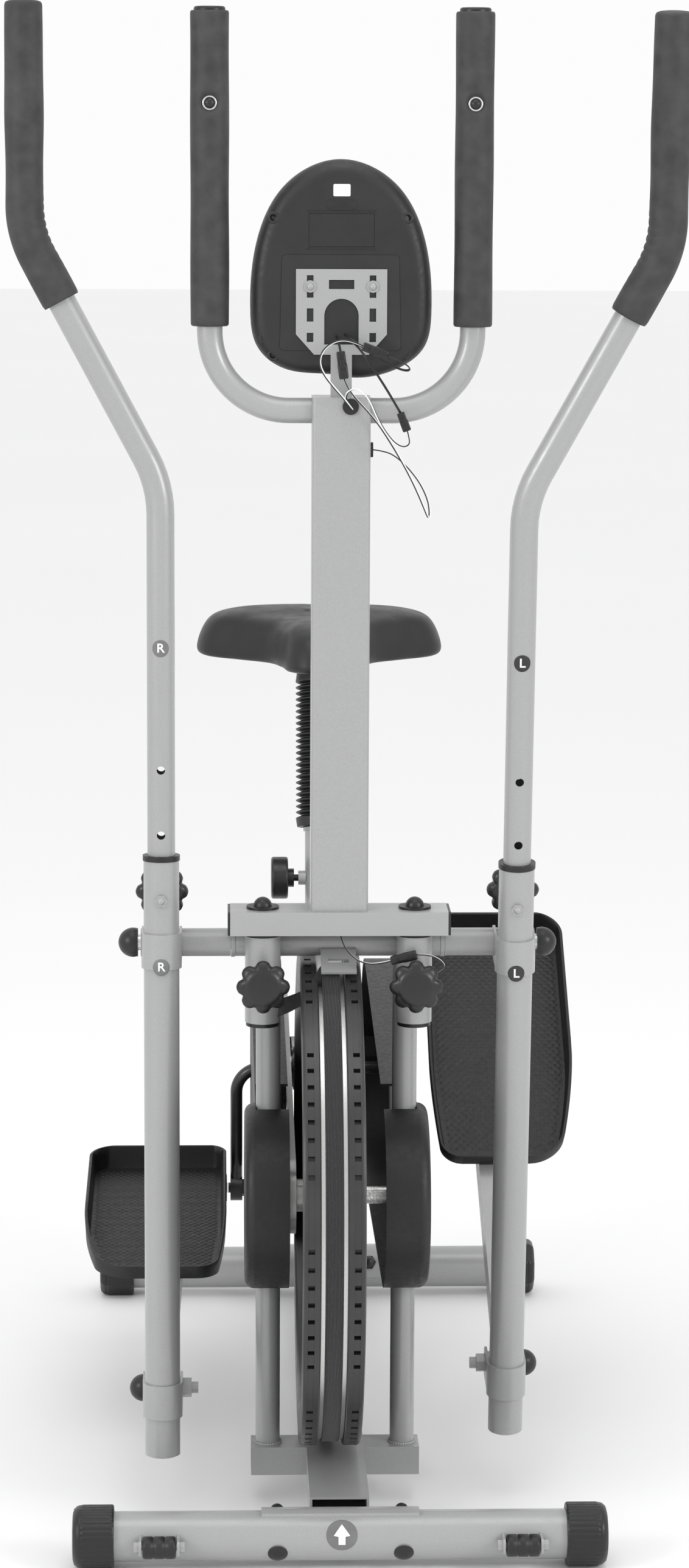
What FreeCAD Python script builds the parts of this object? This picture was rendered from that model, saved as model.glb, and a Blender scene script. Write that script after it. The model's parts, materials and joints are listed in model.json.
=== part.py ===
"""Elliptical trainer with a seat: a belt-braked front flywheel, a one-piece crank, two swinging
arms with foot bars, a fixed handlebar with a console, and a sliding seat post.

Units are millimetres.  +Z is up, +X is the rider's left, +Y points from the flywheel to the seat.
While it is built, Y is the distance behind the front stabiliser; the whole object is then moved
so that its origin is the middle of its box, on the floor.
"""
import FreeCAD
import Part
import math
import os

# ---- driving sizes -------------------------------------------------------------------------
GAP = 0.3                     # clearance between pieces that move past each other
FIT = 0.05                    # radial clearance of a pin or shaft in its bore

STAB_LENGTH = 454.0           # bare tube of either stabiliser between its end caps
STAB_TUBE_D = 50.0
STAB_WALL = 2.0
STAB_AXIS_Z = 32.0
REAR_STAB_Y = 945.0
CAP_D = 64.0
CAP_LENGTH = 41.0
CAP_LIP = 16.0                # how far a cap's plug reaches into the tube
CAP_RIBS = 28

BEAM_W = 60.0
BEAM_H = 30.0
BEAM_Z = 32.0                 # underside of the main beam
BEAM_WALL = 2.5
SADDLE_W = 158.0
SADDLE_T = 3.0
SADDLE_BOLT_X = 63.0
SADDLE_BOLT_TILT = 25.0       # degrees the saddle bolts climb towards the rear
BOLT_D = 8.0

ROLLER_X = 181.0
ROLLER_Y = -38.0
ROLLER_Z = 34.0
ROLLER_D = 22.5
ROLLER_W = 33.0
EAR_T = 2.5

FORK_X = 70.5
FORK_Y = 200.0
FORK_TUBE_D = 25.4
FORK_WALL = 2.0
FORK_BASE_X = 88.0
FORK_BASE_DEPTH = 40.0

PIVOT_Y = 172.0
PIVOT_Z = 604.0
CROSS_TUBE_D = 28.6
CROSS_TUBE_HALF = 105.0
CROSS_WALL = 3.0
SHAFT_D = 16.0
RING_T = 4.0
HUB_OUTER_X = 201.0
PIVOT_CAP_D = 29.0
PIVOT_CAP_L = 21.0

SOCKET_X = 77.0
SOCKET_D = 36.0
SOCKET_WALL = 2.0
SOCKET_BOTTOM_Z = 529.0
LINER_FLANGE = 4.0
SPIGOT_D = 28.0
CROSSBAR_HALF = 110.0
CROSSBAR_DEPTH = 50.0
CROSSBAR_H = 24.0
CROSSBAR_Z = 622.0
CROSSBAR_WALL = 2.0
CROSSBAR_BOLT_D = 10.0

POST_W = 58.0
POST_DEPTH = 40.0
POST_TOP_Z = 1163.0
POST_WALL = 2.0
HANDLEBAR_D = 25.4
HANDLEBAR_WALL = 1.5
HANDLEBAR_X = 130.0
HANDLEBAR_TOP_Z = 1538.0
HANDLEBAR_BEND = 78.0
GRIP_D = 38.0
GRIP_BOTTOM_Z = 1232.0
GRIP_SCREW_Z = 1449.0

CONSOLE_W = 180.0
CONSOLE_BOTTOM_Z = 1182.0
CONSOLE_TOP_Z = 1395.0
CONSOLE_BACK_DEPTH = 30.0
CONSOLE_FACE_DEPTH = 12.0
CONSOLE_WALL = 2.5
CONSOLE_ROUND = 16.0          # outer rounding of the back shell
PLATE_W = 90.0
PLATE_H = 84.0
PLATE_T = 3.0
PLATE_BOTTOM_Z = 1204.0
TONGUE_W = 21.0
DOOR_W = 64.0
DOOR_H = 32.0
DOOR_Z = 1310.0               # lower edge of the battery door
DOOR_T = 2.0
SCREEN_W = 92.0
SCREEN_H = 58.0
SCREEN_Z = 1330.0
BUTTON_D = 26.0
BUTTON_Z = 1250.0
BUTTON_TRAVEL = 1.5

ARM_X = 179.5
ARM_TUBE_D = 36.0
ARM_WALL = 2.0
ARM_BOTTOM = -529.0           # along the arm, from its pivot
ARM_TOP = 90.0
COLLAR_FLANGE_D = 37.6
COLLAR_FLANGE_T = 5.5
UPPER_TUBE_D = 28.0
UPPER_WALL = 1.5
UPPER_BOTTOM = 12.0
BEND_ONE = 469.0              # corner of the lower bend, along the arm
BEND_TWO = 717.0
HANDLE_X = 312.5
HANDLE_TOP = 938.0
LOWER_BEND_R = 120.0
UPPER_BEND_R = 110.0
HANDLE_GRIP_START = 0.73      # share of the slanted run that is left bare
HEIGHT_HOLE = 8.5
HEIGHT_PITCH = 66.0
ARM_KNOB_UP = 51.0
CUP_W = 41.0
CUP_H = 36.0

KNOB_D = 53.0
KNOB_T = 26.0
KNOB_LOBES = 8
KNOB_STEM_D = 15.0
KNOB_SCREW_D = 8.0
BOSS_D = 17.0
BOSS_L = 8.0

ARM_LENGTH = 469.0            # arm pivot to foot-bar pivot
FOOT_BAR_LENGTH = 595.0       # foot-bar pivot to crank eye
CRANK_Y = 730.0
CRANK_Z = 337.0
CRANK_RADIUS = 152.0
CRANK_REST_DEG = 8.0          # right crank arm: down, and this far to the rear
CRANK_ROD_D = 14.0
CRANK_ARM_X = 101.0
CRANK_BEND_R = 30.0
EYE_D = 30.0
EYE_BOLT_END_X = 110.5
SHELL_D = 52.0
SHELL_HALF = 35.0
BEARING_T = 7.0

PIVOT_BOLT_D = 12.0
FOOT_BUSH_D = 24.0
FOOT_BAR_W = 20.0
FOOT_BAR_H = 36.0
FOOT_BAR_REAR_X = 167.0
HOUSING_D = 32.0
HOUSING_INNER_X = 112.0
PEDAL_X = 193.0
PEDAL_W = 160.0
PEDAL_FRONT = 250.0           # along the foot bar, from its front pivot
PEDAL_LENGTH = 350.0
PEDAL_RIM_H = 30.0
PEDAL_WALL = 4.0

WHEEL_X = -8.0
WHEEL_Z = 329.0
WHEEL_R = 257.0
WHEEL_W = 62.0
GROOVE_W = 26.0
GROOVE_DEPTH = 6.0
RIM_DEPTH = 34.0
WEB_T = 24.0
WHEEL_HUB_D = 52.0
WHEEL_AXLE_D = 12.0
BAND_T = 2.0
BELT_W = 18.0
BELT_T = 1.8
CHAIN_X = -45.0
CHAIN_W = 6.6
CHAIN_H = 8.6
CHAIN_PITCH = 12.7
CHAINRING_TEETH = 44
FREEWHEEL_TEETH = 16

COVER_INNER_X = 49.0
COVER_REAR_X = 84.0
COVER_FRONT_X = 95.0
COVER_FRONT_R = 96.0
COVER_REAR_R = 128.0
COVER_WALL = 2.5

SEAT_LEAN = 14.9              # degrees the seat tube leans back
SEAT_TUBE_D = 38.0
SEAT_TUBE_WALL = 2.0
SEAT_TUBE_BEHIND = 48.0       # seat tube axis behind the crank axis, at the crank's height
SEAT_TUBE_TOP_Z = 598.0
SEAT_POST_D = 28.0
SEAT_DROP = 120.0             # travel of the seat post
SEAT_BASE_Z = 796.0
SEAT_LENGTH = 265.0
SEAT_WIDTH = 296.0
SEAT_THICK = 62.0
SEAT_PLATE_T = 6.0
BOOT_D = 60.0
SEAT_KNOB_Z = 544.0
SEAT_KNOB_D = 50.0
SEAT_KNOB_T = 19.0

LEAD_D = 2.4                  # flat twin lead, across its width
GROMMET_X = 9.0
GROMMET_Z = 1154.0
GROMMET_D = 16.0
SIDE_GROMMET_Z = 1110.0

# ---- places that follow from the driving sizes ---------------------------------------------
ARM_SETBACK = ARM_TUBE_D / 2 + CROSS_TUBE_D / 2 + 0.7
FRONT_Y = PIVOT_Y - ARM_SETBACK           # plane of the arms, the sockets, the post and the console
BEAM_TOP = BEAM_Z + BEAM_H
SEAT_DIR = FreeCAD.Vector(0, math.sin(math.radians(SEAT_LEAN)), math.cos(math.radians(SEAT_LEAN)))
RING_X = CROSS_TUBE_HALF + RING_T
HUB_INNER_X = RING_X + GAP
SOCKET_TOP_Z = CROSSBAR_Z - LINER_FLANGE
SCREW_TIP = ARM_WALL + 0.4


def vec(x, y, z):
    return FreeCAD.Vector(x, y, z)


def rod(start, end, diameter):
    """A round bar from start to end."""
    along = end - start
    return Part.makeCylinder(diameter / 2, along.Length, start, along)


def tube(start, end, outer, inner):
    """A round tube from start to end, open at both ends."""
    along = (end - start).normalize()
    return rod(start, end, outer).cut(rod(start - along, end + along, inner))


def x_rod(x0, x1, y, z, diameter):
    return rod(vec(min(x0, x1), y, z), vec(max(x0, x1), y, z), diameter)


def x_tube(x0, x1, y, z, outer, inner):
    return tube(vec(min(x0, x1), y, z), vec(max(x0, x1), y, z), outer, inner)


def block(x0, x1, y0, y1, z0, z1):
    return Part.makeBox(x1 - x0, y1 - y0, z1 - z0, vec(x0, y0, z0))


def hollow_block(x0, x1, y0, y1, z0, z1, wall, axis):
    """A rectangular tube whose open ends face along axis."""
    trim = {"x": (-1, wall, wall), "y": (wall, -1, wall), "z": (wall, wall, -1)}[axis]
    inside = block(x0 + trim[0], x1 - trim[0], y0 + trim[1], y1 - trim[1], z0 + trim[2], z1 - trim[2])
    return block(x0, x1, y0, y1, z0, z1).cut(inside)


def hexagon(start, along, across_flats, height):
    """A hexagonal nut or bolt head standing on start."""
    radius = across_flats / math.sqrt(3)
    corners = [vec(radius * math.cos(k * math.pi / 3), radius * math.sin(k * math.pi / 3), 0)
               for k in range(6)]
    prism = Part.Face(Part.makePolygon(corners + corners[:1])).extrude(vec(0, 0, height))
    prism.Placement = FreeCAD.Placement(start, FreeCAD.Rotation(vec(0, 0, 1), along))
    return prism


def dome(start, along, diameter, height):
    """A low round head: the cap of a sphere that stands on start."""
    base = diameter / 2
    radius = (base * base + height * height) / (2 * height)
    direction = vec(along.x, along.y, along.z).normalize()
    ball = Part.makeSphere(radius, start - direction * (radius - height))
    return ball.common(rod(start, start + direction * (height + 1), diameter + 2))


def rounded_path(points, radii):
    """Straight runs joined by tangent arcs of the given radii, as one wire."""
    edges = []
    last = points[0]
    for before, corner, after, radius in zip(points, points[1:], points[2:], radii):
        inward = (corner - before).normalize()
        outward = (after - corner).normalize()
        turn = inward.getAngle(outward)
        reach = radius * math.tan(turn / 2)
        start = corner - inward * reach
        end = corner + outward * reach
        middle_dir = (outward - inward).normalize()
        centre = corner + middle_dir * (radius / math.cos(turn / 2))
        middle = centre - middle_dir * radius
        edges.append(Part.LineSegment(last, start).toShape())
        edges.append(Part.Arc(start, middle, end).toShape())
        last = end
    edges.append(Part.LineSegment(last, points[-1]).toShape())
    return Part.Wire(edges)


def bent_rod(points, radii, diameter):
    """A round bar along straight runs joined by tangent arcs."""
    along = (points[1] - points[0]).normalize()
    ring = Part.Wire(Part.Circle(points[0], along, diameter / 2).toShape())
    return rounded_path(points, radii).makePipeShell([ring], True, False)


def bent_tube(points, radii, outer, inner):
    return bent_rod(points, radii, outer).cut(bent_rod(points, radii, inner))


def slab(points, along):
    """A flat outline of corner points, pushed along a vector."""
    return Part.Face(Part.makePolygon(points + points[:1])).extrude(along)


def round_edges(shape, radius, wanted):
    """Rounds the edges for which wanted(edge) is true."""
    return shape.makeFillet(radius, [edge for edge in shape.Edges if wanted(edge)])


def is_along(edge, axis):
    """True for a straight edge that runs along one axis."""
    if not isinstance(edge.Curve, Part.Line):
        return False
    return abs(edge.Curve.Direction.dot(axis)) > 0.999


def other_side(shape):
    """The same piece on the other side of the machine."""
    return shape.mirror(vec(0, 0, 0), vec(1, 0, 0))


def turned(shape, degrees, y, z):
    """Turns a piece about an axis along X through (y, z)."""
    copy = shape.copy()
    copy.rotate(vec(0, y, z), vec(1, 0, 0), degrees)
    return copy


def both_sides(shape):
    return [shape, other_side(shape)]


# ---- linkage ---------------------------------------------------------------------------------
def arm_tilt(eye_y, eye_z):
    """Degrees that an arm leans (bottom to the rear) when its foot bar meets the crank eye."""
    reach_y = eye_y - PIVOT_Y
    reach_z = eye_z - PIVOT_Z
    reach = math.hypot(reach_y, reach_z)
    cosine = (ARM_LENGTH ** 2 + reach ** 2 - FOOT_BAR_LENGTH ** 2) / (2 * ARM_LENGTH * reach)
    towards_eye = math.atan2(reach_y, -reach_z)
    return math.degrees(towards_eye - math.acos(cosine))


def linkage(side, crank_deg):
    """Arm tilt, foot-bar pitch and foot-bar front pivot; side is -1 on the right, 1 on the left."""
    angle = math.radians(crank_deg)
    eye_y = CRANK_Y - side * CRANK_RADIUS * math.sin(angle)
    eye_z = CRANK_Z + side * CRANK_RADIUS * math.cos(angle)
    tilt = arm_tilt(eye_y, eye_z)
    front_y = PIVOT_Y + ARM_LENGTH * math.sin(math.radians(tilt))
    front_z = PIVOT_Z - ARM_LENGTH * math.cos(math.radians(tilt))
    pitch = math.degrees(math.atan2(eye_z - front_z, eye_y - front_y))
    return tilt, pitch, front_y, front_z


REST = {side: linkage(side, CRANK_REST_DEG) for side in (-1, 1)}


# ---- base and frame ----------------------------------------------------------------------------
def front_stabiliser():
    half = STAB_LENGTH / 2
    body = x_tube(-half, half, 0, STAB_AXIS_Z, STAB_TUBE_D, STAB_TUBE_D - 2 * STAB_WALL)
    return [body.cut(Part.makeCompound(saddle_bolt_bores(0)))]


def rear_stabiliser():
    half = STAB_LENGTH / 2
    body = x_tube(-half, half, REAR_STAB_Y, STAB_AXIS_Z, STAB_TUBE_D, STAB_TUBE_D - 2 * STAB_WALL)
    return [body.cut(Part.makeCompound(saddle_bolt_bores(REAR_STAB_Y)))]


def bolt_axis(stab_y):
    """Direction of the saddle bolts: they climb from the outer face towards the beam."""
    lean = math.radians(SADDLE_BOLT_TILT)
    inward = 1 if stab_y < REAR_STAB_Y / 2 else -1
    return vec(0, inward * math.cos(lean), math.sin(lean))


def saddle_bolt_bores(stab_y):
    along = bolt_axis(stab_y)
    reach = STAB_TUBE_D
    return [rod(vec(x, stab_y, STAB_AXIS_Z) - along * reach, vec(x, stab_y, STAB_AXIS_Z) + along * reach,
                BOLT_D + 2 * FIT) for x in (-SADDLE_BOLT_X, SADDLE_BOLT_X)]


def ribbed_cap(stab_y):
    """A push-on end cap with lengthwise ribs, on the +X end of a stabiliser."""
    inner = STAB_LENGTH / 2
    outer = inner + CAP_LENGTH
    body = x_rod(inner - CAP_LIP, outer, stab_y, STAB_AXIS_Z, CAP_D)
    body = body.makeFillet(6, [e for e in body.Edges if e.BoundBox.XMin > outer - 1 and e.Length > 50])
    pocket = x_tube(inner - CAP_LIP - 1, inner, stab_y, STAB_AXIS_Z, STAB_TUBE_D + 2 * FIT,
                    STAB_TUBE_D - 2 * STAB_WALL - 2 * FIT)
    skirt = x_tube(inner - CAP_LIP - 1, inner - CAP_LIP / 4, stab_y, STAB_AXIS_Z, CAP_D + 2,
                   STAB_TUBE_D + 2 * FIT)
    return body.cut(pocket).cut(skirt)


def rear_cap(stab_y):
    """An eight-sided levelling cap on the +X end of the rear stabiliser."""
    inner = STAB_LENGTH / 2
    outer = inner + CAP_LENGTH
    radius = CAP_D / 2 / math.cos(math.pi / 8)
    corners = [vec(inner, stab_y + radius * math.cos((k + 0.5) * math.pi / 4),
                   STAB_AXIS_Z + radius * math.sin((k + 0.5) * math.pi / 4)) for k in range(8)]
    body = slab(corners, vec(CAP_LENGTH, 0, 0))
    body = round_edges(body, 3, lambda e: e.BoundBox.XMin > outer - 1)
    plug = x_rod(inner - CAP_LIP, inner + 1, stab_y, STAB_AXIS_Z, STAB_TUBE_D - 2 * STAB_WALL - 2 * FIT)
    return body.fuse(plug)


def stabiliser_end_caps():
    return both_sides(ribbed_cap(0)) + both_sides(rear_cap(REAR_STAB_Y))


def saddle(stab_y):
    """A curved plate that wraps the tube's top and the side towards the beam."""
    inner = STAB_TUBE_D + 2 * FIT
    ring = x_tube(-SADDLE_W / 2, SADDLE_W / 2, stab_y, STAB_AXIS_Z, inner + 2 * SADDLE_T, inner)
    reach = STAB_TUBE_D
    inward = 1 if stab_y < REAR_STAB_Y / 2 else -1
    y_edge = stab_y - inward * STAB_TUBE_D / 5
    keep = block(-SADDLE_W / 2, SADDLE_W / 2, min(y_edge, y_edge + inward * reach * 2),
                 max(y_edge, y_edge + inward * reach * 2), STAB_AXIS_Z - STAB_TUBE_D / 8, STAB_AXIS_Z + reach)
    return ring.common(keep).cut(Part.makeCompound(saddle_bolt_bores(stab_y)))


def main_beam():
    """The long beam with its two saddles and the two stubs that carry the fork."""
    reach = STAB_TUBE_D / 2 + FIT + SADDLE_T * 0.8
    beam = hollow_block(-BEAM_W / 2, BEAM_W / 2, reach, REAR_STAB_Y - reach, BEAM_Z, BEAM_TOP, BEAM_WALL, "y")
    saddle_d = STAB_TUBE_D + 2 * FIT + 2 * SADDLE_T
    beam = beam.cut(x_rod(-BEAM_W, BEAM_W, 0, STAB_AXIS_Z, saddle_d))
    beam = beam.cut(x_rod(-BEAM_W, BEAM_W, REAR_STAB_Y, STAB_AXIS_Z, saddle_d))
    fork_front = FORK_Y - FORK_BASE_DEPTH / 2
    fork_rear = FORK_Y + FORK_BASE_DEPTH / 2
    stub = hollow_block(BEAM_W / 2, FORK_BASE_X, fork_front, fork_rear, BEAM_Z, BEAM_TOP, BEAM_WALL, "x")
    lug = hollow_block(-8, 8, belt_lug_y(), belt_lug_y() + 4, BEAM_TOP, BEAM_TOP + 26, 4.5, "y")
    return [beam, saddle(0), saddle(REAR_STAB_Y), lug] + both_sides(stub)


def roller_brackets():
    """Two ears, an axle bolt and its nut for each transport roller."""
    solids = []
    half = ROLLER_W / 2
    seat_y = -STAB_TUBE_D / 2 + 1.5
    for side in (-1, 1):
        axle_x = side * ROLLER_X
        for edge in (-1, 1):
            x0 = axle_x + edge * (half + 1.2)
            x1 = x0 + edge * EAR_T
            ear = block(min(x0, x1), max(x0, x1), ROLLER_Y - 8, seat_y + 8, ROLLER_Z - 8, ROLLER_Z + 8)
            ear = round_edges(ear, 5, lambda e: is_along(e, vec(1, 0, 0)) and e.BoundBox.YMax < ROLLER_Y)
            ear = ear.cut(x_rod(-300, 300, 0, STAB_AXIS_Z, STAB_TUBE_D))
            solids.append(ear.cut(x_rod(x0 - 9, x0 + 9, ROLLER_Y, ROLLER_Z, 6)))
        reach = half + 1.2 + EAR_T
        solids.append(x_rod(axle_x - reach - 3, axle_x + reach + 3, ROLLER_Y, ROLLER_Z, 6))
        for edge in (-1, 1):
            nut = hexagon(vec(axle_x + edge * reach, ROLLER_Y, ROLLER_Z), vec(edge, 0, 0), 10, 5)
            solids.append(nut.cut(x_rod(axle_x - reach - 9, axle_x + reach + 9, ROLLER_Y, ROLLER_Z, 6)))
    return solids


def transport_roller(side):
    half = ROLLER_W / 2
    body = x_tube(side * ROLLER_X - half, side * ROLLER_X + half, ROLLER_Y, ROLLER_Z, ROLLER_D, 6 + 4 * FIT)
    return [body]


def front_fork():
    """Two upright tubes that stand on the stubs and carry the flywheel axle and the cross tube."""
    solids = []
    for side in (-1, 1):
        x = side * FORK_X
        upright = tube(vec(x, FORK_Y, BEAM_TOP), vec(x, FORK_Y, PIVOT_Z), FORK_TUBE_D,
                       FORK_TUBE_D - 2 * FORK_WALL)
        upright = upright.cut(x_rod(-200, 200, FORK_Y, WHEEL_Z, WHEEL_AXLE_D))
        solids.append(upright.cut(x_rod(-200, 200, PIVOT_Y, PIVOT_Z, CROSS_TUBE_D)))
    return solids


def cross_tube():
    """The fixed tube between the arms, with an end ring each side, the sockets and the belt plate."""
    inner = SHAFT_D
    body = x_tube(-CROSS_TUBE_HALF, CROSS_TUBE_HALF, PIVOT_Y, PIVOT_Z, CROSS_TUBE_D, inner)
    ring = x_tube(CROSS_TUBE_HALF, RING_X, PIVOT_Y, PIVOT_Z, CROSS_TUBE_D + 1.6, inner)
    socket = tube(vec(SOCKET_X, FRONT_Y, SOCKET_BOTTOM_Z), vec(SOCKET_X, FRONT_Y, SOCKET_TOP_Z), SOCKET_D,
                  SOCKET_D - 2 * SOCKET_WALL)
    boss = rod(vec(SOCKET_X, FRONT_Y - SOCKET_D / 2 + 1, post_knob_z()),
               vec(SOCKET_X, FRONT_Y - SOCKET_D / 2 - BOSS_L, post_knob_z()), BOSS_D)
    socket = socket.fuse(boss).cut(rod(vec(SOCKET_X, FRONT_Y - 60, post_knob_z()),
                                       vec(SOCKET_X, FRONT_Y - SOCKET_D / 2 + SOCKET_WALL + 1, post_knob_z()),
                                       KNOB_SCREW_D + 2 * FIT))
    web = block(SOCKET_X - 3, SOCKET_X + 3, FRONT_Y + SOCKET_D / 2 - 1, PIVOT_Y - 8, PIVOT_Z - 8, PIVOT_Z + 8)
    web = web.cut(x_rod(-200, 200, PIVOT_Y, PIVOT_Z, CROSS_TUBE_D))
    web = web.cut(tube(vec(SOCKET_X, FRONT_Y, 500), vec(SOCKET_X, FRONT_Y, 700), SOCKET_D, SOCKET_D / 2))
    return [body, belt_plate()] + both_sides(ring) + both_sides(socket) + both_sides(web)


def post_knob_z():
    return (SOCKET_BOTTOM_Z + SOCKET_TOP_Z) / 2


def belt_plate():
    """A sloping plate under the cross tube with the slot that the brake belt goes through."""
    half = BELT_W
    top = vec(-half, PIVOT_Y - CROSS_TUBE_D / 2 - 2, PIVOT_Z - 6)
    run = vec(0, -34, -17)
    normal = vec(0, 17, -34).normalize() * -2.5
    plate = slab([top, top + run, top + run + vec(2 * half, 0, 0), top + vec(2 * half, 0, 0)], normal)
    slot_at = top + run * 0.5
    slot = slab([slot_at + vec(half - BELT_W / 2 - 1.5, 0, 0) - run * 0.08,
                 slot_at + vec(half - BELT_W / 2 - 1.5, 0, 0) + run * 0.08,
                 slot_at + vec(half + BELT_W / 2 + 1.5, 0, 0) + run * 0.08,
                 slot_at + vec(half + BELT_W / 2 + 1.5, 0, 0) - run * 0.08], normal * 4)
    slot.translate(normal * -1.5)
    bridge = block(-half, half, PIVOT_Y - CROSS_TUBE_D / 2 - 2.6, PIVOT_Y, PIVOT_Z - 8, PIVOT_Z - 4)
    return plate.cut(slot).fuse(bridge).cut(x_rod(-200, 200, PIVOT_Y, PIVOT_Z, CROSS_TUBE_D))


def frame_axles():
    """The pivot shaft of the arms and the fixed axle of the flywheel, with its nuts."""
    tip = HUB_OUTER_X + RING_T - 1
    shaft = x_rod(-tip, tip, PIVOT_Y, PIVOT_Z, SHAFT_D)
    reach = FORK_X + FORK_TUBE_D / 2
    axle = x_rod(-reach - 8, reach + 8, FORK_Y, WHEEL_Z, WHEEL_AXLE_D)
    nuts = []
    for side in (-1, 1):
        nut = hexagon(vec(side * reach, FORK_Y, WHEEL_Z), vec(side, 0, 0), 18, 7)
        nuts.append(nut.cut(x_rod(-200, 200, FORK_Y, WHEEL_Z, WHEEL_AXLE_D)))
        spacer_in = WHEEL_X + side * (WHEEL_W / 2 - 6 + GAP)
        spacer_out = side * (FORK_X - FORK_TUBE_D / 2)
        nuts.append(x_tube(spacer_in, spacer_out, FORK_Y, WHEEL_Z, 18, WHEEL_AXLE_D))
    return [shaft, axle] + nuts


def pivot_caps():
    """Black domed covers over the ends of the pivot shaft."""
    start = HUB_OUTER_X + RING_T
    cap = dome(vec(start, PIVOT_Y, PIVOT_Z), vec(1, 0, 0), PIVOT_CAP_D, PIVOT_CAP_L - 2)
    neck = x_rod(start - 1, start + 0.5, PIVOT_Y, PIVOT_Z, PIVOT_CAP_D)
    return both_sides(cap.fuse(neck))


def post_crossbar():
    """The flat bar under the post, with the two spigots that drop into the sockets."""
    bar = hollow_block(-CROSSBAR_HALF, CROSSBAR_HALF, FRONT_Y - CROSSBAR_DEPTH / 2, FRONT_Y + CROSSBAR_DEPTH / 2,
                       CROSSBAR_Z, CROSSBAR_Z + CROSSBAR_H, CROSSBAR_WALL, "x")
    bore = Part.makeCompound([rod(vec(x, FRONT_Y, CROSSBAR_Z - 20), vec(x, FRONT_Y, CROSSBAR_Z + 60),
                                  CROSSBAR_BOLT_D) for x in (-SOCKET_X, SOCKET_X)])
    spigot = tube(vec(SOCKET_X, FRONT_Y, SOCKET_BOTTOM_Z + 4), vec(SOCKET_X, FRONT_Y, CROSSBAR_Z), SPIGOT_D,
                  CROSSBAR_BOLT_D)
    return [bar.cut(bore)] + both_sides(spigot)


def end_plugs():
    """Plastic liners of the sockets, end plugs of the crossbar and the two wire grommets."""
    bore = SOCKET_D - 2 * SOCKET_WALL
    solids = []
    for x in (-SOCKET_X, SOCKET_X):
        for z0, z1 in ((SOCKET_TOP_Z, CROSSBAR_Z), (SOCKET_BOTTOM_Z - LINER_FLANGE, SOCKET_BOTTOM_Z)):
            solids.append(tube(vec(x, FRONT_Y, z0), vec(x, FRONT_Y, z1), SOCKET_D - 2, SPIGOT_D))
        lower = post_knob_z() - 8
        upper = post_knob_z() + 8
        for z0, z1 in ((SOCKET_BOTTOM_Z, lower), (upper, SOCKET_TOP_Z)):
            solids.append(tube(vec(x, FRONT_Y, z0), vec(x, FRONT_Y, z1), bore, SPIGOT_D))
    y0 = FRONT_Y - CROSSBAR_DEPTH / 2
    flange = block(CROSSBAR_HALF, CROSSBAR_HALF + 2.5, y0, y0 + CROSSBAR_DEPTH, CROSSBAR_Z,
                   CROSSBAR_Z + CROSSBAR_H)
    flange = round_edges(flange, 3, lambda e: is_along(e, vec(1, 0, 0)))
    solids += both_sides(flange)
    solids.append(front_grommet())
    solids.append(side_grommet())
    return solids


def front_grommet():
    face = FRONT_Y - POST_DEPTH / 2
    return rod(vec(GROMMET_X, face, GROMMET_Z), vec(GROMMET_X, face - 2.5, GROMMET_Z), GROMMET_D)


def side_grommet():
    face = POST_W / 2
    return x_rod(face, face + 3, FRONT_Y, SIDE_GROMMET_Z, 15)


def frame_bolts():
    """Every visible fastener of the frame: saddle bolts, post bolts, grip screws and grip end caps."""
    solids = []
    for stab_y in (0, REAR_STAB_Y):
        along = bolt_axis(stab_y)
        for x in (-SADDLE_BOLT_X, SADDLE_BOLT_X):
            centre = vec(x, stab_y, STAB_AXIS_Z)
            near = centre - along * (STAB_TUBE_D / 2)
            far = centre + along * (STAB_TUBE_D / 2 + SADDLE_T + FIT)
            shank = rod(near, far + along * 10, BOLT_D)
            head = dome(near, along * -1, 20, 4)
            nut = hexagon(far, along, 15, 7).fuse(dome(far + along * 7, along, 14, 7))
            solids.append(shank.fuse(head).fuse(nut))
    top = CROSSBAR_Z + CROSSBAR_H
    for x in (-SOCKET_X, SOCKET_X):
        washer = rod(vec(x, FRONT_Y, top), vec(x, FRONT_Y, top + 2.5), 33)
        head = dome(vec(x, FRONT_Y, top + 2.5), vec(0, 0, 1), 19, 9)
        shank = rod(vec(x, FRONT_Y, SOCKET_BOTTOM_Z + 30), vec(x, FRONT_Y, top), CROSSBAR_BOLT_D)
        solids.append(washer.fuse(head).fuse(shank))
    for x in (-HANDLEBAR_X, HANDLEBAR_X):
        face = FRONT_Y - HANDLEBAR_D / 2
        shank = rod(vec(x, face + 4, GRIP_SCREW_Z), vec(x, face - 4, GRIP_SCREW_Z), 5)
        head = dome(vec(x, face - 3.5, GRIP_SCREW_Z), vec(0, -1, 0), 11, 3)
        solids.append(shank.fuse(head))
        plug = rod(vec(x, FRONT_Y, HANDLEBAR_TOP_Z), vec(x, FRONT_Y, HANDLEBAR_TOP_Z + 4), 31)
        plug = round_edges(plug, 2.5, lambda e: e.BoundBox.ZMin > HANDLEBAR_TOP_Z + 3)
        solids.append(plug)
    return solids


def console_post():
    """The upright post: a box tube with a closed top, let in over the handlebar."""
    y0 = FRONT_Y - POST_DEPTH / 2
    y1 = FRONT_Y + POST_DEPTH / 2
    z0 = CROSSBAR_Z + CROSSBAR_H
    post = block(-POST_W / 2, POST_W / 2, y0, y1, z0, POST_TOP_Z)
    post = round_edges(post, 4, lambda e: is_along(e, vec(0, 0, 1)))
    core = block(-POST_W / 2 + POST_WALL, POST_W / 2 - POST_WALL, y0 + POST_WALL, y1 - POST_WALL, z0 - 1,
                 POST_TOP_Z - POST_WALL)
    post = post.cut(core)
    return [post.cut(x_rod(-200, 200, FRONT_Y, handlebar_z(), HANDLEBAR_D))]


def handlebar_z():
    return POST_TOP_Z - HANDLEBAR_D / 2 - POST_WALL * 0.75


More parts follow.
